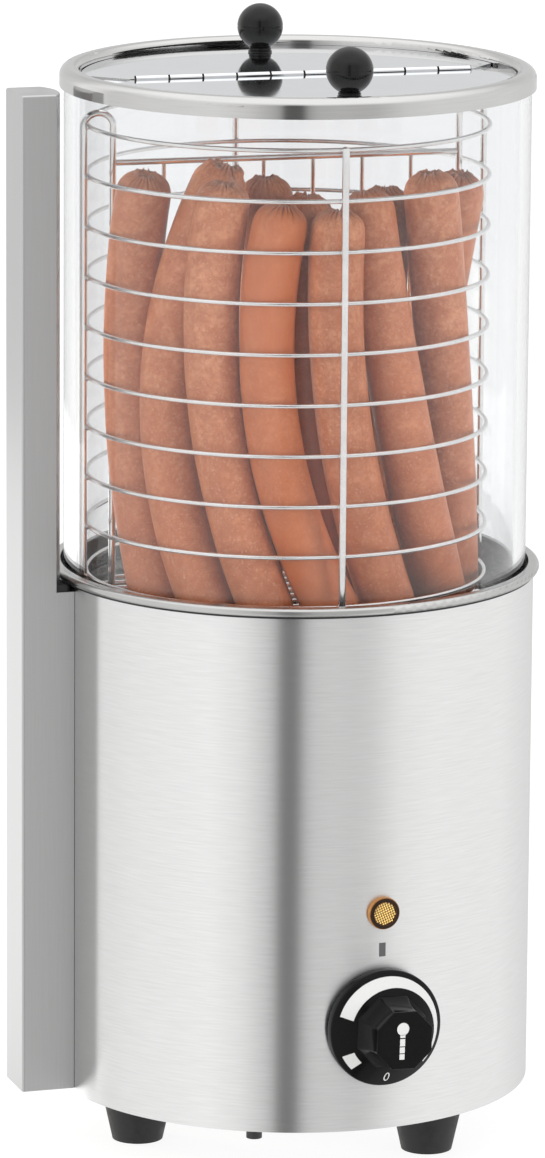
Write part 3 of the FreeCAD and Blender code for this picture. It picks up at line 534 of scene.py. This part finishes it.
def softOutline(corners, steps=5):
    # (radius, height, rounding) corners to points, with each rounding as an arc
    points = []
    for i, (r, z, rounding) in enumerate(corners):
        corner = Vector((r, z))
        if not rounding:
            points.append(corner)
            continue
        before = (Vector(corners[i - 1][:2]) - corner).normalized()
        after = (Vector(corners[i + 1][:2]) - corner).normalized()
        half = before.angle(after) / 2
        reach = rounding / math.tan(half)
        centre = corner + (before + after).normalized() * rounding / math.sin(half)
        start, end = corner + before * reach - centre, corner + after * reach - centre
        sweep = start.angle_signed(end)
        for s in range(steps + 1):
            turn = Matrix.Rotation(-sweep * s / steps, 2)
            points.append(centre + turn @ start)
    return points


onAxis = 1e-7                      # radius below which a point lies on the axis


def lathed(outline, around):
    # points and faces of an outline turned about Z, closed where it starts and ends on the axis
    points, faces = [], []
    inner = [p for p in outline if p.x > onAxis]
    for p in inner:
        for j in range(around):
            a = 2 * math.pi * j / around
            points.append(Vector((p.x * math.cos(a), p.x * math.sin(a), p.y)))
    faces += ringFaces(len(inner), around)
    if outline[0].x <= onAxis:
        points.append(Vector((0, 0, outline[0].y)))
        faces += [(len(points) - 1, (j + 1) % around, j) for j in range(around)]
    if outline[-1].x <= onAxis:
        points.append(Vector((0, 0, outline[-1].y)))
        last = (len(inner) - 1) * around
        faces += [(len(points) - 1, last + j, last + (j + 1) % around) for j in range(around)]
    return points, faces


# Sausages
sausages = {
    "diameter": 23 * mm,
    "gap": 1.5 * mm,               # hoops to the sausages that lie along them
    "restGap": 0.3 * mm,
    "hoopWire": 2 * mm,
    "floorWire": 2.5 * mm,
    "floorPitch": 11 * mm,
    "around": 168,
    "bodyRings": 44,
    "capRings": 30,
    "capEnd": 88.5,                # degrees, just short of the tip
    "blunt": 0.74,                 # below 1, the ends are flatter than a ball
    "lump": 0.22 * mm,
    "creases": 25,
    "creaseDepth": 0.75 * mm,
    "creaseDip": 0.6,              # a crease's depth towards the middle, as a share of its depth
    "creaseSharp": 4,
    "wander": 1.6,                 # how far a crease strays, in radians of its wave
    "gather": (0.99, 0.4),         # share of the full radius where creases start, and how soon they are full
    "crown": 1.7 * mm,             # ragged casing round the tip
    "crownAt": (0.4, 0.14),        # its share of the full radius, and half its width
    "tipSink": 2.0 * mm,
    "sunkAt": 0.36,                # share of the full radius inside which the tip sinks
    "crumple": 1.1 * mm,
    # how fine each unevenness is
    "noise": {
        "lump": 38, "wander": 1.7, "crease": 3.1, "nub": 4.5, "nubFine": 11, "crumple": 230, "warm": 22,
        "pale": 160,
    },
    # head, waist and tail as (diameters inwards, degrees from the front post), then the top's share
    "front": [
        ((0, -73), (0, -80), (0, -64.5), 0.92),
        ((0.96, -53), (0.06, -60.2), (0, -43.2), 0.94),
        ((0, -38), (0, -39.8), (0, -22.5), 0.92),
        ((0, -18.5), (0, -20.5), (0, -0.5), 0.88),
        ((0, 1), (0, 3.8), (0, 20.5), 0.867),
        ((0.61, 20), (0.02, 26), (0, 48.5), 0.89),
        ((0, 41), (0, 52.5), (0, 71), 0.925),
        ((0, 69), (0.6, 73), (1.2, 68), 0.90),
    ],
    "back": [
        ((2.04, -37), (2.09, -39), (2.13, -49), 0.90),
        ((1.17, -6), (1.22, -3.5), (1.12, 18), 0.88),
        ((1.09, 45), (1.3, 40), (2.04, 51.5), 0.88),
    ],
    "torn": {("front", 1): 2.6, ("front", 2): 1.4},   # how much more ragged some heads are
    "warm": {                      # how much redder each one is
        "front": [0.25, 0.2, 0.05, 0.7, 0.15, 0.3, 0.1, 0.2],
        "back": [0.3, 0.5, 0.3],
    },
}
hoopLow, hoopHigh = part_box("basket_hoops")
basketMid = Vector(((hoopLow.x + hoopHigh.x) / 2, (hoopLow.y + hoopHigh.y) / 2, 0))
hoopInside = (hoopHigh.x - hoopLow.x) / 2 - sausages["hoopWire"]
topHoop = hoopHigh.z - sausages["hoopWire"] / 2
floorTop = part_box("basket_floor")[1].z


def sausagePlace(place, z):
    inwards, angle = place
    reach = hoopInside - sausages["gap"] - sausages["diameter"] * (0.5 + inwards)
    a = math.radians(angle)
    return Vector((reach * math.sin(a), -reach * math.cos(a), z))


def sausageSpine(head, waist, tail, top):
    radius = sausages["diameter"] / 2
    aside = sausagePlace(tail, 0).y
    aside -= sausages["floorPitch"] * round(aside / sausages["floorPitch"])
    wire = sausages["floorWire"] / 2
    low = floorTop - wire + math.sqrt((radius + wire + sausages["restGap"]) ** 2 - aside ** 2)
    high = floorTop + top * (topHoop - floorTop) - radius
    return sausagePlace(tail, low), sausagePlace(waist, (low + high) / 2), sausagePlace(head, high)


def arcThrough(a, b, c):
    # centre, axis and sweep of the arc from a to c by way of b
    ab, ac = b - a, c - a
    n = ab.cross(ac)
    reach = n.cross(ab) * ac.length_squared + ac.cross(n) * ab.length_squared
    centre = a + reach / (2 * n.length_squared)
    return centre, n.normalized(), (a - centre).angle(c - centre)


def sausageRings():
    # each ring is (share along the spine, reach past its end, ring radius)
    radius, blunt = sausages["diameter"] / 2, sausages["blunt"]
    body, cap = sausages["bodyRings"], sausages["capRings"]
    rings = [(i / body, 0.0, radius) for i in range(body + 1)]
    for i in range(1, cap + 1):
        t = math.radians(sausages["capEnd"] * i / cap)
        reach, ring = radius * math.sin(t) ** blunt, radius * math.cos(t) ** blunt
        rings.insert(0, (0.0, -reach, ring))
        rings.append((1.0, reach, ring))
    return rings


def headShape(near):
    # how far the skin is gathered, sunk and ragged at a ring, by its share of the full radius
    start, over = sausages["gather"]
    gather = min(1.0, max(0.0, (start - near) / over))
    dip = max(0.0, 1 - near / sausages["sunkAt"])
    dip *= dip * (3 - 2 * dip)
    middle, half = sausages["crownAt"]
    crown = max(0.0, 1 - abs(near - middle) / half)
    return gather, dip, crown


def uneven(kind, place, aside=(0, 0, 0)):
    return noise.noise(place * sausages["noise"][kind] + Vector(aside))


def sausageMesh(places, seed, torn, warm):
    draw = random.Random(seed)
    a, b, c = sausageSpine(*places)
    centre, axis, sweep = arcThrough(a, b, c)
    radius, around, deep = sausages["diameter"] / 2, sausages["around"], sausages["creaseDepth"]
    creases = sausages["creases"] + draw.randint(-4, 5)
    phase, shift = draw.uniform(0, 6.28), draw.uniform(0, 40)
    rings = sausageRings()
    points, skins = [], []
    for share, past, ring in rings:
        spoke = Matrix.Rotation(sweep * share, 3, axis) @ (a - centre)
        outwards = spoke.normalized()
        along = axis.cross(outwards)
        middle = centre + spoke
        end = math.copysign(1.0, past)
        near = ring / radius if past else 1.0
        gather, dip, crown = headShape(near)
        for j in range(around):
            t = 2 * math.pi * j / around
            way = outwards * math.cos(t) + axis * math.sin(t)
            place = middle + along * past + way * ring
            lump = uneven("lump", place, (shift, 0, 0)) * sausages["lump"]
            wander = sausages["wander"] * uneven("wander", way, (shift, near * 1.5, 0))
            crease = (0.5 - 0.5 * math.cos(creases * t + phase + wander)) ** sausages["creaseSharp"]
            crease *= gather * min(1.0, 0.35 + 1.6 * abs(uneven("crease", way, (0, shift, 0))))
            nub = uneven("nub", way, (0, 0, shift)) + 0.6 * uneven("nubFine", way, (0, shift, 0))
            fold = (torn - 1) * gather * sausages["crumple"] * uneven("crumple", place, (0, 0, shift))
            lift = crown * (0.7 + 0.3 * torn) * sausages["crown"] * (0.2 + nub)
            lift -= dip * sausages["tipSink"]
            lift += fold
            lift -= crease * deep * sausages["creaseDip"]
            points.append(place + way * (lump + fold - crease * deep) + along * lift * end)
            # the skin's colour: pale at the tip, redder in patches, and painted shade in the creases and the
            # sunk tip
            lit = max(0.0, uneven("warm", place, (shift, 9, 0)))
            pale = crown * max(0.0, 0.4 + 0.8 * nub) + 0.45 * dip
            pale += (torn - 1) * gather * 0.4 * max(0.0, uneven("pale", place))
            skins.append((min(1.0, pale), warm * (0.75 + lit), min(1.0, crease * 0.95 + dip * 0.25), 1.0))
    faces = ringFaces(len(rings), around)
    last = (len(rings) - 1) * around
    faces.append(tuple(reversed(range(around))))
    faces.append(tuple(range(last, last + around)))
    return points, faces, skins


def sausageRow(name, row, node, seed):
    turn = Matrix.Translation(basketMid) @ Matrix.Rotation(basketTurn, 4, "Z")
    points, faces, skins = [], [], []
    for i, places in enumerate(sausages[row]):
        torn, warm = sausages["torn"].get((row, i), 1.0), sausages["warm"][row][i]
        p, f, s = sausageMesh(places, seed + i, torn, warm)
        faces += [tuple(len(points) + k for k in face) for face in f]
        points += [turn @ v for v in p]
        skins += s
    piece = meshPiece(name, points, faces, finishes[sausageSkin], "basket")
    skin = piece.data.attributes.new("skin", "FLOAT_COLOR", "POINT")
    skin.data.foreach_set("color", [v for colour in skins for v in colour])
    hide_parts(node)


sausageRow("frontSausages", "front", "sausages_front_row", 11)
sausageRow("backSausages", "back", "sausages_back_row", 47)
print("sausages laid in the basket")


# Weld beads where the posts cross the hoops
welds = {
    "size": (1.9 * mm, 1.1 * mm, 1.56 * mm),   # half width, depth and height of a bead
    "uneven": 0.16,
    "posts": 4,
    "hoops": 10,
}


def weldBeads():
    points, faces = [], []
    wide, deep, tall = welds["size"]
    low = hoopLow.z + sausages["hoopWire"] / 2
    pitch = (topHoop - low) / (welds["hoops"] - 1)
    shape = bmesh.new()
    bmesh.ops.create_icosphere(shape, subdivisions=2, radius=1)
    ball = [v.co.copy() for v in shape.verts]
    tris = [tuple(v.index for v in f.verts) for f in shape.faces]
    shape.free()
    for level in range(welds["hoops"]):
        for post in range(welds["posts"]):
            a = basketTurn + post * math.pi / 2
            out = Vector((math.cos(a), math.sin(a), 0))
            side = Vector((-math.sin(a), math.cos(a), 0))
            seat = basketMid + out * (hoopInside + sausages["hoopWire"])
            seat.z += low + level * pitch
            first = len(points)
            for v in ball:
                bead = 1 + welds["uneven"] * noise.noise(v * 1.7 + Vector((level, post, 0)))
                points.append(seat + (side * v.x * wide + out * v.y * deep + Vector((0, 0, v.z * tall))) * bead)
            faces += [tuple(first + k for k in t) for t in tris]
    piece = meshPiece("weldBeads", points, faces, finishes[drawnWire], "basket")


weldBeads()
print("weld beads made")


# Ball knobs on the lid leaves
ballKnob = {
    "ball": 10.0 * mm,
    "neck": 4.6 * mm,
    "seam": 0.14 * mm,             # depth of the line round the ball's middle
    "seamHalf": 0.04,              # half its width, in radians
    "around": 96,
    "arcSteps": 56,
}
# the neck from the leaf up: (radius, height, rounding)
ballNeck = [
    (3.0 * mm, 0, 0), (5.2 * mm, 0, 0), (5.2 * mm, 0.9 * mm, 0.25 * mm), (4.4 * mm, 1.15 * mm, 0.1 * mm),
    (4.9 * mm, 1.4 * mm, 0.15 * mm), (4.9 * mm, 2.1 * mm, 0.15 * mm), (4.35 * mm, 2.35 * mm, 0.1 * mm),
    (4.6 * mm, 2.55 * mm, 0),
]


def lidKnob(side):
    node = "lid_knob_" + side
    low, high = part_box(node)
    base = Vector(((low.x + high.x) / 2, (low.y + high.y) / 2, low.z))
    height = high.z - low.z
    ball = ballKnob["ball"]
    mid = height - ball
    outline = softOutline(ballNeck)
    start = -math.acos(ballKnob["neck"] / ball)
    for i in range(1, ballKnob["arcSteps"] + 1):
        t = start + (math.pi / 2 - start) * i / ballKnob["arcSteps"]
        seam = ballKnob["seam"] * max(0.0, 1 - abs(t) / ballKnob["seamHalf"])
        outline.append(Vector(((ball - seam) * math.cos(t), mid + (ball - seam) * math.sin(t))))
    outline[-1] = Vector((0, height))
    points, faces = lathed(outline, ballKnob["around"])
    placed = [base + p for p in points]
    piece = meshPiece(side + "BallKnob", placed, faces, finishes[ballBlack], "lid_" + side)
    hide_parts(node)


lidKnob("front")
lidKnob("rear")
print("ball knobs made")


# Thermostat knob: a sloping dial, an eight-sided hollowed grip and its printed scale
dial = {
    "radius": 25.25 * mm,
    "edge": 4.0 * mm,              # straight edge before the slope
    "edgeRound": 1.2 * mm,
    "slopeRise": 6.0 * mm,
    "hollow": 3.5 * mm,
    "wall": 4.0 * mm,
    "gripBase": 15.5 * mm,         # middle of a side at the foot and at the front
    "gripFront": 12.5 * mm,
    "scoop": 30.0 * mm,
    "sides": 8,
    "ridge": 0.8,                  # degrees blunted on each side of a ridge between two sides
    "crease": 32.0,                # degrees, from which an edge is sharp
    "frontRound": 0.4 * mm,
    "hollowRound": 0.6 * mm,
    "rimRound": 0.3 * mm,
    "footRound": 0.5 * mm,
    "sink": 1.4 * mm,              # how far the grip reaches into the dial
    "around": 160,
    "gripSteps": 14,
    "roundSteps": 5,
    "faceSteps": 5,
    "ink": 0.05 * mm,              # how far the print stands proud
    "turn": -2.0,                  # degrees
}
knobLow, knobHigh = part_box("thermostat_knob")
knobAt = Vector(((knobLow.x + knobHigh.x) / 2, knobHigh.y, (knobLow.z + knobHigh.z) / 2))
knobHeight = knobHigh.y - knobLow.y - 1.2 * dial["ink"]   # room for the print on its face


def facing(p):
    # from a knob drawn with Z outwards to its place on the drum
    turned = Matrix.Rotation(math.radians(dial["turn"]), 3, "Z") @ Vector(p)
    return knobAt + Vector((turned.x, -turned.z, turned.y))


def gripReach(z):
    # distance of a side's middle from the axis, on the arc that hollows it
    foot = Vector((dial["gripBase"], dial["edge"] + dial["slopeRise"]))
    front = Vector((dial["gripFront"], knobHeight))
    chord = front - foot
    out = Vector((chord.y, -chord.x)).normalized()
    mid = (foot + front) / 2 + out * math.sqrt(dial["scoop"] ** 2 - (chord.length / 2) ** 2)
    if z < foot.y:
        return dial["gripBase"]
    return mid.x - math.sqrt(dial["scoop"] ** 2 - (z - mid.y) ** 2)


def gripRing(reach, z, inset=0.0):
    points, sides = [], dial["sides"]
    perSide = dial["around"] // sides
    flat = math.pi / sides - math.radians(dial["ridge"])
    for k in range(sides):
        for i in range(perSide):
            off = flat * (2 * i / (perSide - 1) - 1)
            t = 2 * math.pi * k / sides + off
            r = reach / math.cos(off) - inset
            points.append(Vector((r * math.cos(t), r * math.sin(t), z)))
    return points


def knobMesh():
    slopeFoot, gripFoot = dial["edge"], dial["edge"] + dial["slopeRise"]
    inner = dial["radius"] - dial["wall"]
    skirt, faces = lathed(softOutline([
        (0, dial["hollow"], 0), (inner, dial["hollow"], dial["hollowRound"]),
        (inner, 0, dial["rimRound"]), (dial["radius"], 0, dial["rimRound"]),
        (dial["radius"], slopeFoot, dial["edgeRound"]), (dial["gripBase"], gripFoot, dial["footRound"]),
        (0, gripFoot, 0),
    ]), dial["around"])
    # each ring of the grip is (reach of a side's middle, height, inset)
    rings = [(gripReach(gripFoot), gripFoot - dial["sink"], 0.0)]
    top, edge = knobHeight - dial["frontRound"], dial["frontRound"]
    for i in range(dial["gripSteps"] + 1):
        z = gripFoot + (top - gripFoot) * i / dial["gripSteps"]
        rings.append((gripReach(z), z, 0.0))
    for i in range(1, dial["roundSteps"] + 1):
        t = math.pi / 2 * i / dial["roundSteps"]
        rings.append((gripReach(top), top + edge * math.sin(t), edge * (1 - math.cos(t))))
    for i in range(1, dial["faceSteps"]):
        left = 1 - i / dial["faceSteps"]
        rings.append((gripReach(top) * left, knobHeight, edge * left))
    first = len(skirt)
    points = list(skirt)
    for reach, z, inset in rings:
        points += gripRing(reach, z, inset)
    faces += ringFaces(len(rings), dial["around"], first)
    last = first + (len(rings) - 1) * dial["around"]
    points.append(Vector((0, 0, knobHeight)))
    for j in range(dial["around"]):
        faces.append((len(points) - 1, last + j, last + (j + 1) % dial["around"]))
    piece = meshPiece("dialKnob", [facing(p) for p in points], faces, finishes[dialBlack], "control")
    piece.data.set_sharp_from_angle(angle=math.radians(dial["crease"]))
    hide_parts("thermostat_knob")


def onSlope(r, clock):
    # a point of the dial's sloping face, by radius and degrees clockwise from the top
    rise = dial["slopeRise"] * (dial["radius"] - r) / (dial["radius"] - dial["gripBase"])
    t = math.radians(clock)
    return Vector((r * math.sin(t), r * math.cos(t), dial["edge"] + rise + dial["ink"]))


scale = {
    "outer": 23.0 * mm,
    "band": (-73, 132),            # degrees clockwise from the top, thick end first
    "thick": 5.2 * mm,
    "thin": 0.5 * mm,
    "block": (-137, -118.5),
    "blockWidth": 4.8 * mm,
    "zeroAt": 20.6 * mm,
    "zero": (1.25 * mm, 2.15 * mm),
    "zeroStroke": 0.5 * mm,
    "bulb": (-1.1 * mm, 5.1 * mm, 2.75 * mm),
    "stem": 1.15 * mm,             # half width
    "bars": [(2.6, 1.3), (0.8, -2.4), (-2.8, -5.4), (-5.8, -8.2)],   # top and foot of each, mm
    "across": 4,
    "bandCells": 90,
    "blockCells": 8,
    "ringCells": 40,
}


def dialPrint():
    points, faces = [], []

    def strip(clockLow, clockHigh, widthAt, count):
        across, first = scale["across"], len(points)
        for i in range(count + 1):
            clock = clockLow + (clockHigh - clockLow) * i / count
            for k in range(across + 1):
                r = scale["outer"] - widthAt(i / count) * k / across
                points.append(onSlope(r, clock))
        row = across + 1
        for i in range(count):
            for k in range(across):
                a = first + i * row + k
                faces.append((a, a + row, a + row + 1, a + 1))

    def taper(u):
        return scale["thin"] + (scale["thick"] - scale["thin"]) * math.sin((1 - u) * math.pi / 2)

    strip(*scale["band"], taper, scale["bandCells"])
    strip(*scale["block"], lambda u: scale["blockWidth"], scale["blockCells"])
    # the 0, as an upright ring on the slope
    first, count = len(points), scale["ringCells"]
    for i in range(count):
        t = 2 * math.pi * i / count
        for inset in (0.0, scale["zeroStroke"]):
            x = (scale["zero"][0] - inset) * math.cos(t)
            y = (scale["zero"][1] - inset) * math.sin(t)
            r = scale["zeroAt"] - y
            points.append(onSlope(r, 180 - math.degrees(x / scale["zeroAt"])))
    for i in range(count):
        a, b = first + 2 * i, first + 2 * ((i + 1) % count)
        faces.append((a, b, b + 1, a + 1))
    # thermometer sign on the grip's face
    z = knobHeight + dial["ink"]
    x0, y0, bulb = scale["bulb"]
    first = len(points)
    points.append(Vector((x0, y0, z)))
    for i in range(count):
        t = 2 * math.pi * i / count
        points.append(Vector((x0 + bulb * math.cos(t), y0 + bulb * math.sin(t), z)))
        faces.append((first, first + 1 + i, first + 1 + (i + 1) % count))
    for high, low in scale["bars"]:
        first = len(points)
        for x, y in ((-1, low), (1, low), (1, high), (-1, high)):
            points.append(Vector((x0 + x * scale["stem"], y * mm, z)))
        faces.append((first, first + 1, first + 2, first + 3))
    ink = printInk("dialInk", (0.57, 0.57, 0.565), (0.52, 0.52, 0.515))
    meshPiece("dialScale", [facing(p) for p in points], faces, ink, "control", smooth=False)


knobMesh()
dialPrint()
print("thermostat knob made")


# Printed pointer mark on the drum, above the dial
mark = {"width": 3.0 * mm, "height": 6.0 * mm, "level": 103.2 * mm, "proud": 0.04 * mm, "cells": 8}


def pointerMark():
    r, count = drumR + mark["proud"], mark["cells"]
    points = []
    for row in range(count + 1):
        z = mark["level"] + mark["height"] * (row / count - 0.5)
        for k in range(count + 1):
            t = -math.pi / 2 + mark["width"] * (k / count - 0.5) / r
            points.append(drum + Vector((r * math.cos(t), r * math.sin(t), z)))
    faces = []
    for row in range(count):
        for k in range(count):
            a = row * (count + 1) + k
            faces.append((a, a + 1, a + count + 2, a + count + 1))
    ink = printInk("markInk", (0.085, 0.085, 0.085), (0.065, 0.065, 0.065))
    meshPiece("pointerMark", points, faces, ink, "base")


pointerMark()
print("pointer mark printed")


# Black block that fills the notch between the column and the rim, as painted shade for the dark gap there
notch = {
    "low": 246.2 * mm,
    "high": 248.9 * mm,
    "inner": 105.0 * mm,           # from the drum's axis
    "outer": 110.9 * mm,
    "half": 12.7 * mm,
    "round": 1.3 * mm,
    "around": 32,
}


def notchShade():
    columnLow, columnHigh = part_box("column_shell")
    aim = Vector(((columnLow.x + columnHigh.x) / 2, (columnLow.y + columnHigh.y) / 2, 0)) - drum
    out = aim.normalized()
    out.z = 0
    side = Vector((-out.y, out.x, 0))
    outline, count = [], notch["around"]
    mid, deep = (notch["inner"] + notch["outer"]) / 2, (notch["outer"] - notch["inner"]) / 2
    for i in range(count):
        t = 2 * math.pi * (i + 0.5) / count
        x = math.copysign(deep - notch["round"], math.cos(t)) + notch["round"] * math.cos(t)
        y = math.copysign(notch["half"] - notch["round"], math.sin(t)) + notch["round"] * math.sin(t)
        outline.append(drum + out * (mid + x) + side * y)
    points = []
    for z in (notch["low"], notch["high"]):
        points += [Vector((p.x, p.y, z)) for p in outline]
    faces = ringFaces(2, count) + [tuple(reversed(range(count))), tuple(range(count, 2 * count))]
    meshPiece("notchShade", points, faces, finishes[footRubber], "base", smooth=False)


notchShade()
print("notch strip made")


# Pilot lamp lens with its waffle of small pyramids
waffle = {
    "pitch": 1.05 * mm,
    "rise": 0.75 * mm,
    "foot": 0.4,                   # half a pyramid's side, as a share of the pitch
    "field": 4.95 * mm,            # radius of the waffle
    "edge": 0.1,                   # a cell's middle stays inside the field by this share of the pitch
    "sunk": 0.75 * mm,
    "rimRound": 0.1 * mm,
    "lip": 0.1 * mm,
    "lipRound": 0.05 * mm,
    "around": 72,
    "turn": 20.0,                  # degrees
    "shaded": (0, 1),              # which sides of each pyramid get painted shade
}


def lampLens():
    low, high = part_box("lamp_lens")
    seat = Vector(((low.x + high.x) / 2, high.y, (low.z + high.z) / 2))
    radius, deep = (high.x - low.x) / 2, high.y - low.y
    radius = min(radius, (high.z - low.z) / 2)
    face = deep - waffle["sunk"]
    points, faces = lathed(softOutline([
        (0, 0, 0), (radius, 0, 0), (radius, deep, waffle["rimRound"]),
        (waffle["field"] + waffle["lip"], deep, waffle["lipRound"]),
        (waffle["field"] + waffle["lipRound"], face, 0), (0, face, 0),
    ]), waffle["around"])
    plate = len(faces)
    cells = int(waffle["field"] / waffle["pitch"]) + 1
    turn = Matrix.Rotation(math.radians(waffle["turn"]), 3, "Z")
    for i in range(-cells, cells + 1):
        for k in range(-cells, cells + 1):
            mid = Vector((i, k, 0)) * waffle["pitch"]
            if mid.length > waffle["field"] - waffle["pitch"] * waffle["edge"]:
                continue
            first = len(points)
            half = waffle["pitch"] * waffle["foot"]
            for x, y in ((-half, -half), (half, -half), (half, half), (-half, half)):
                corner = mid + Vector((x, y, 0))
                corner *= min(1.0, waffle["field"] / corner.length)   # cells at the edge are cut off round
                points.append(turn @ (corner + Vector((0, 0, face))))
            points.append(turn @ (mid + Vector((0, 0, face + waffle["rise"]))))
            faces += [(first + s, first + (s + 1) % 4, first + 4) for s in range(4)]
    placed = [seat + Vector((p.x, -p.z, p.y)) for p in points]
    piece = meshPiece("lampWaffle", placed, faces, finishes[amberLens], "base", smooth=False)
    # painted shade on the sunk plate and on two sides of each pyramid, by the dark copy of the lens
    piece.data.materials.append(amberShade())
    for facet in piece.data.polygons:
        shaded = facet.index < plate or (facet.index - plate) % 4 in waffle["shaded"]
        facet.material_index = 1 if shaded else 0
    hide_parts("lamp_lens")


lampLens()
print("pilot lamp made")


# Studio: white floor, and a sky of soft panels with a gap at the camera
studio = {
    "floor": 12.0,
    "floorColours": ((0.097, 0.097, 0.097), (0.103, 0.103, 0.103)),
    "floorGap": 0.05 * mm,         # below the feet
    "floorGlow": 0.89,
    # lamps for the dull surfaces: (degrees right of the camera, height, distance, size, watts, colour)
    "lamps": [
        (-46, 0.55, 2.4, 1.3, 29.0, (1.0, 0.99, 0.95)),
        (-118, 0.35, 2.2, 0.5, 62.0, (1.0, 0.9, 0.68)),
        (60, 0.35, 2.6, 1.3, 42.0, (1.0, 1.0, 1.0)),
    ],
    # white card that brightens the foot of the column: (degrees right of the camera, distance, size, watts)
    "card": (-136, 0.7, (0.7, 0.36), 0.5),
    "most": 1.4,                   # brightness that a band's 1.0 stands for
    "overhead": 1.5,
    "overheadFrom": (0.45, 0.8),   # rise over which the bands give way to it
    "camera": -111.9,              # degrees, the camera's direction from the drum
    # (degrees to the right of the camera, brightness)
    "bands": [
        (-180, 0.74), (-160, 0.8), (-140, 0.95), (-126, 1.3), (-112, 1.2), (-102, 0.98), (-84, 1.06),
        (-40, 1.15), (-24, 1.0), (-12, 0.72), (-8.6, 0.6), (-5.6, 0.16), (2.2, 0.16), (5.4, 0.58),
        (10, 0.74), (20, 0.77), (31, 0.74), (38, 0.77),
        (54, 1.02), (72, 1.1), (120, 1.08), (140, 0.95), (160, 0.82), (180, 0.74),
    ],
}


def studioSky():
    world = bpy.data.worlds.new("studio")
    bpy.context.scene.world = world
    world.use_nodes = True
    tree = world.node_tree
    part = add(tree, "SeparateXYZ", {0: add(tree, "TexCoord").outputs["Generated"]})
    angle = add(tree, "Math", {0: part.outputs[1], 1: part.outputs[0]}, operation="ARCTAN2").outputs[0]
    away = add(tree, "Math", {0: angle, 1: math.radians(studio["camera"])}, operation="SUBTRACT").outputs[0]
    turned = add(tree, "Math", {0: away, 1: math.pi, 2: -math.pi}, operation="WRAP").outputs[0]
    share = spread(tree, turned, 0.0, 1.0, -math.pi, math.pi)
    ramp = add(tree, "ValToRGB", {0: share})
    stops = ramp.color_ramp.elements
    while len(stops) < len(studio["bands"]):
        stops.new(0.5)
    for stop, (offset, bright) in zip(stops, studio["bands"]):
        stop.position = (offset + 180) / 360
        stop.color = (*[bright / studio["most"]] * 3, 1)
    band = add(tree, "Math", {0: ramp.outputs[0], 1: studio["most"]}, operation="MULTIPLY").outputs[0]
    above = spread(tree, part.outputs[2], 0.0, 1.0, *studio["overheadFrom"])
    sky = add(tree, "Mix", {0: above}, data_type="FLOAT")
    tree.links.new(band, sky.inputs[2])
    sky.inputs[3].default_value = studio["overhead"]
    seen = add(tree, "Mix", data_type="FLOAT")   # plain white where the sky itself is in view
    tree.links.new(add(tree, "LightPath").outputs["Is Camera Ray"], seen.inputs[0])
    tree.links.new(sky.outputs[0], seen.inputs[2])
    seen.inputs[3].default_value = 1.0
    tree.links.new(seen.outputs[0], tree.nodes["Background"].inputs["Color"])


def studioLamps():
    for i, (offset, height, distance, size, watts, colour) in enumerate(studio["lamps"]):
        data = bpy.data.lights.new("lamp%d" % i, "AREA")
        data.size, data.energy, data.color = size, watts, colour
        lamp = bpy.data.objects.new("lamp%d" % i, data)
        t = math.radians(studio["camera"] + offset)
        lamp.location = drum + Vector((distance * math.cos(t), distance * math.sin(t), height))
        aim = drum + Vector(lens["target"]) - lamp.location
        lamp.rotation_euler = aim.to_track_quat("-Z", "Y").to_euler()
        lamp.visible_glossy = lamp.visible_transmission = False   # only the sky shows in steel and glass
        bpy.context.scene.collection.objects.link(lamp)
    offset, distance, size, watts = studio["card"]
    data = bpy.data.lights.new("card", "AREA")
    data.shape, data.size, data.size_y, data.energy = "RECTANGLE", size[0], size[1], watts
    card = bpy.data.objects.new("card", data)
    t = math.radians(studio["camera"] + offset)
    way = Vector((math.cos(t), math.sin(t), 0))
    card.location = drum + way * distance
    card.rotation_euler = (-way).to_track_quat("-Z", "Y").to_euler()
    card.visible_camera = card.visible_diffuse = False
    bpy.context.scene.collection.objects.link(card)


def studioFloor():
    half = studio["floor"]
    mesh = bpy.data.meshes.new("floor")
    corners = [(-half, -half, 0), (half, -half, 0), (half, half, 0), (-half, half, 0)]
    mesh.from_pydata(corners, [], [(0, 1, 2, 3)])
    floor = bpy.data.objects.new("floor", mesh)
    floor.location.z = cadLow.z - studio["floorGap"]
    bpy.context.scene.collection.objects.link(floor)
    mat, tree, shader = finish(
        "floorPaper", studio["floorColours"][0], 0.8,
        Emission_Color=(1, 1, 1, 1), Emission_Strength=studio["floorGlow"],
    )
    tinted(tree, shader, grain(tree, spot(tree), 3.0), *studio["floorColours"])
    mesh.materials.append(mat)
    floor.visible_glossy = False


studioSky()
studioLamps()
studioFloor()
view = bpy.context.scene.view_settings
view.view_transform = "Standard"
print("studio lit")
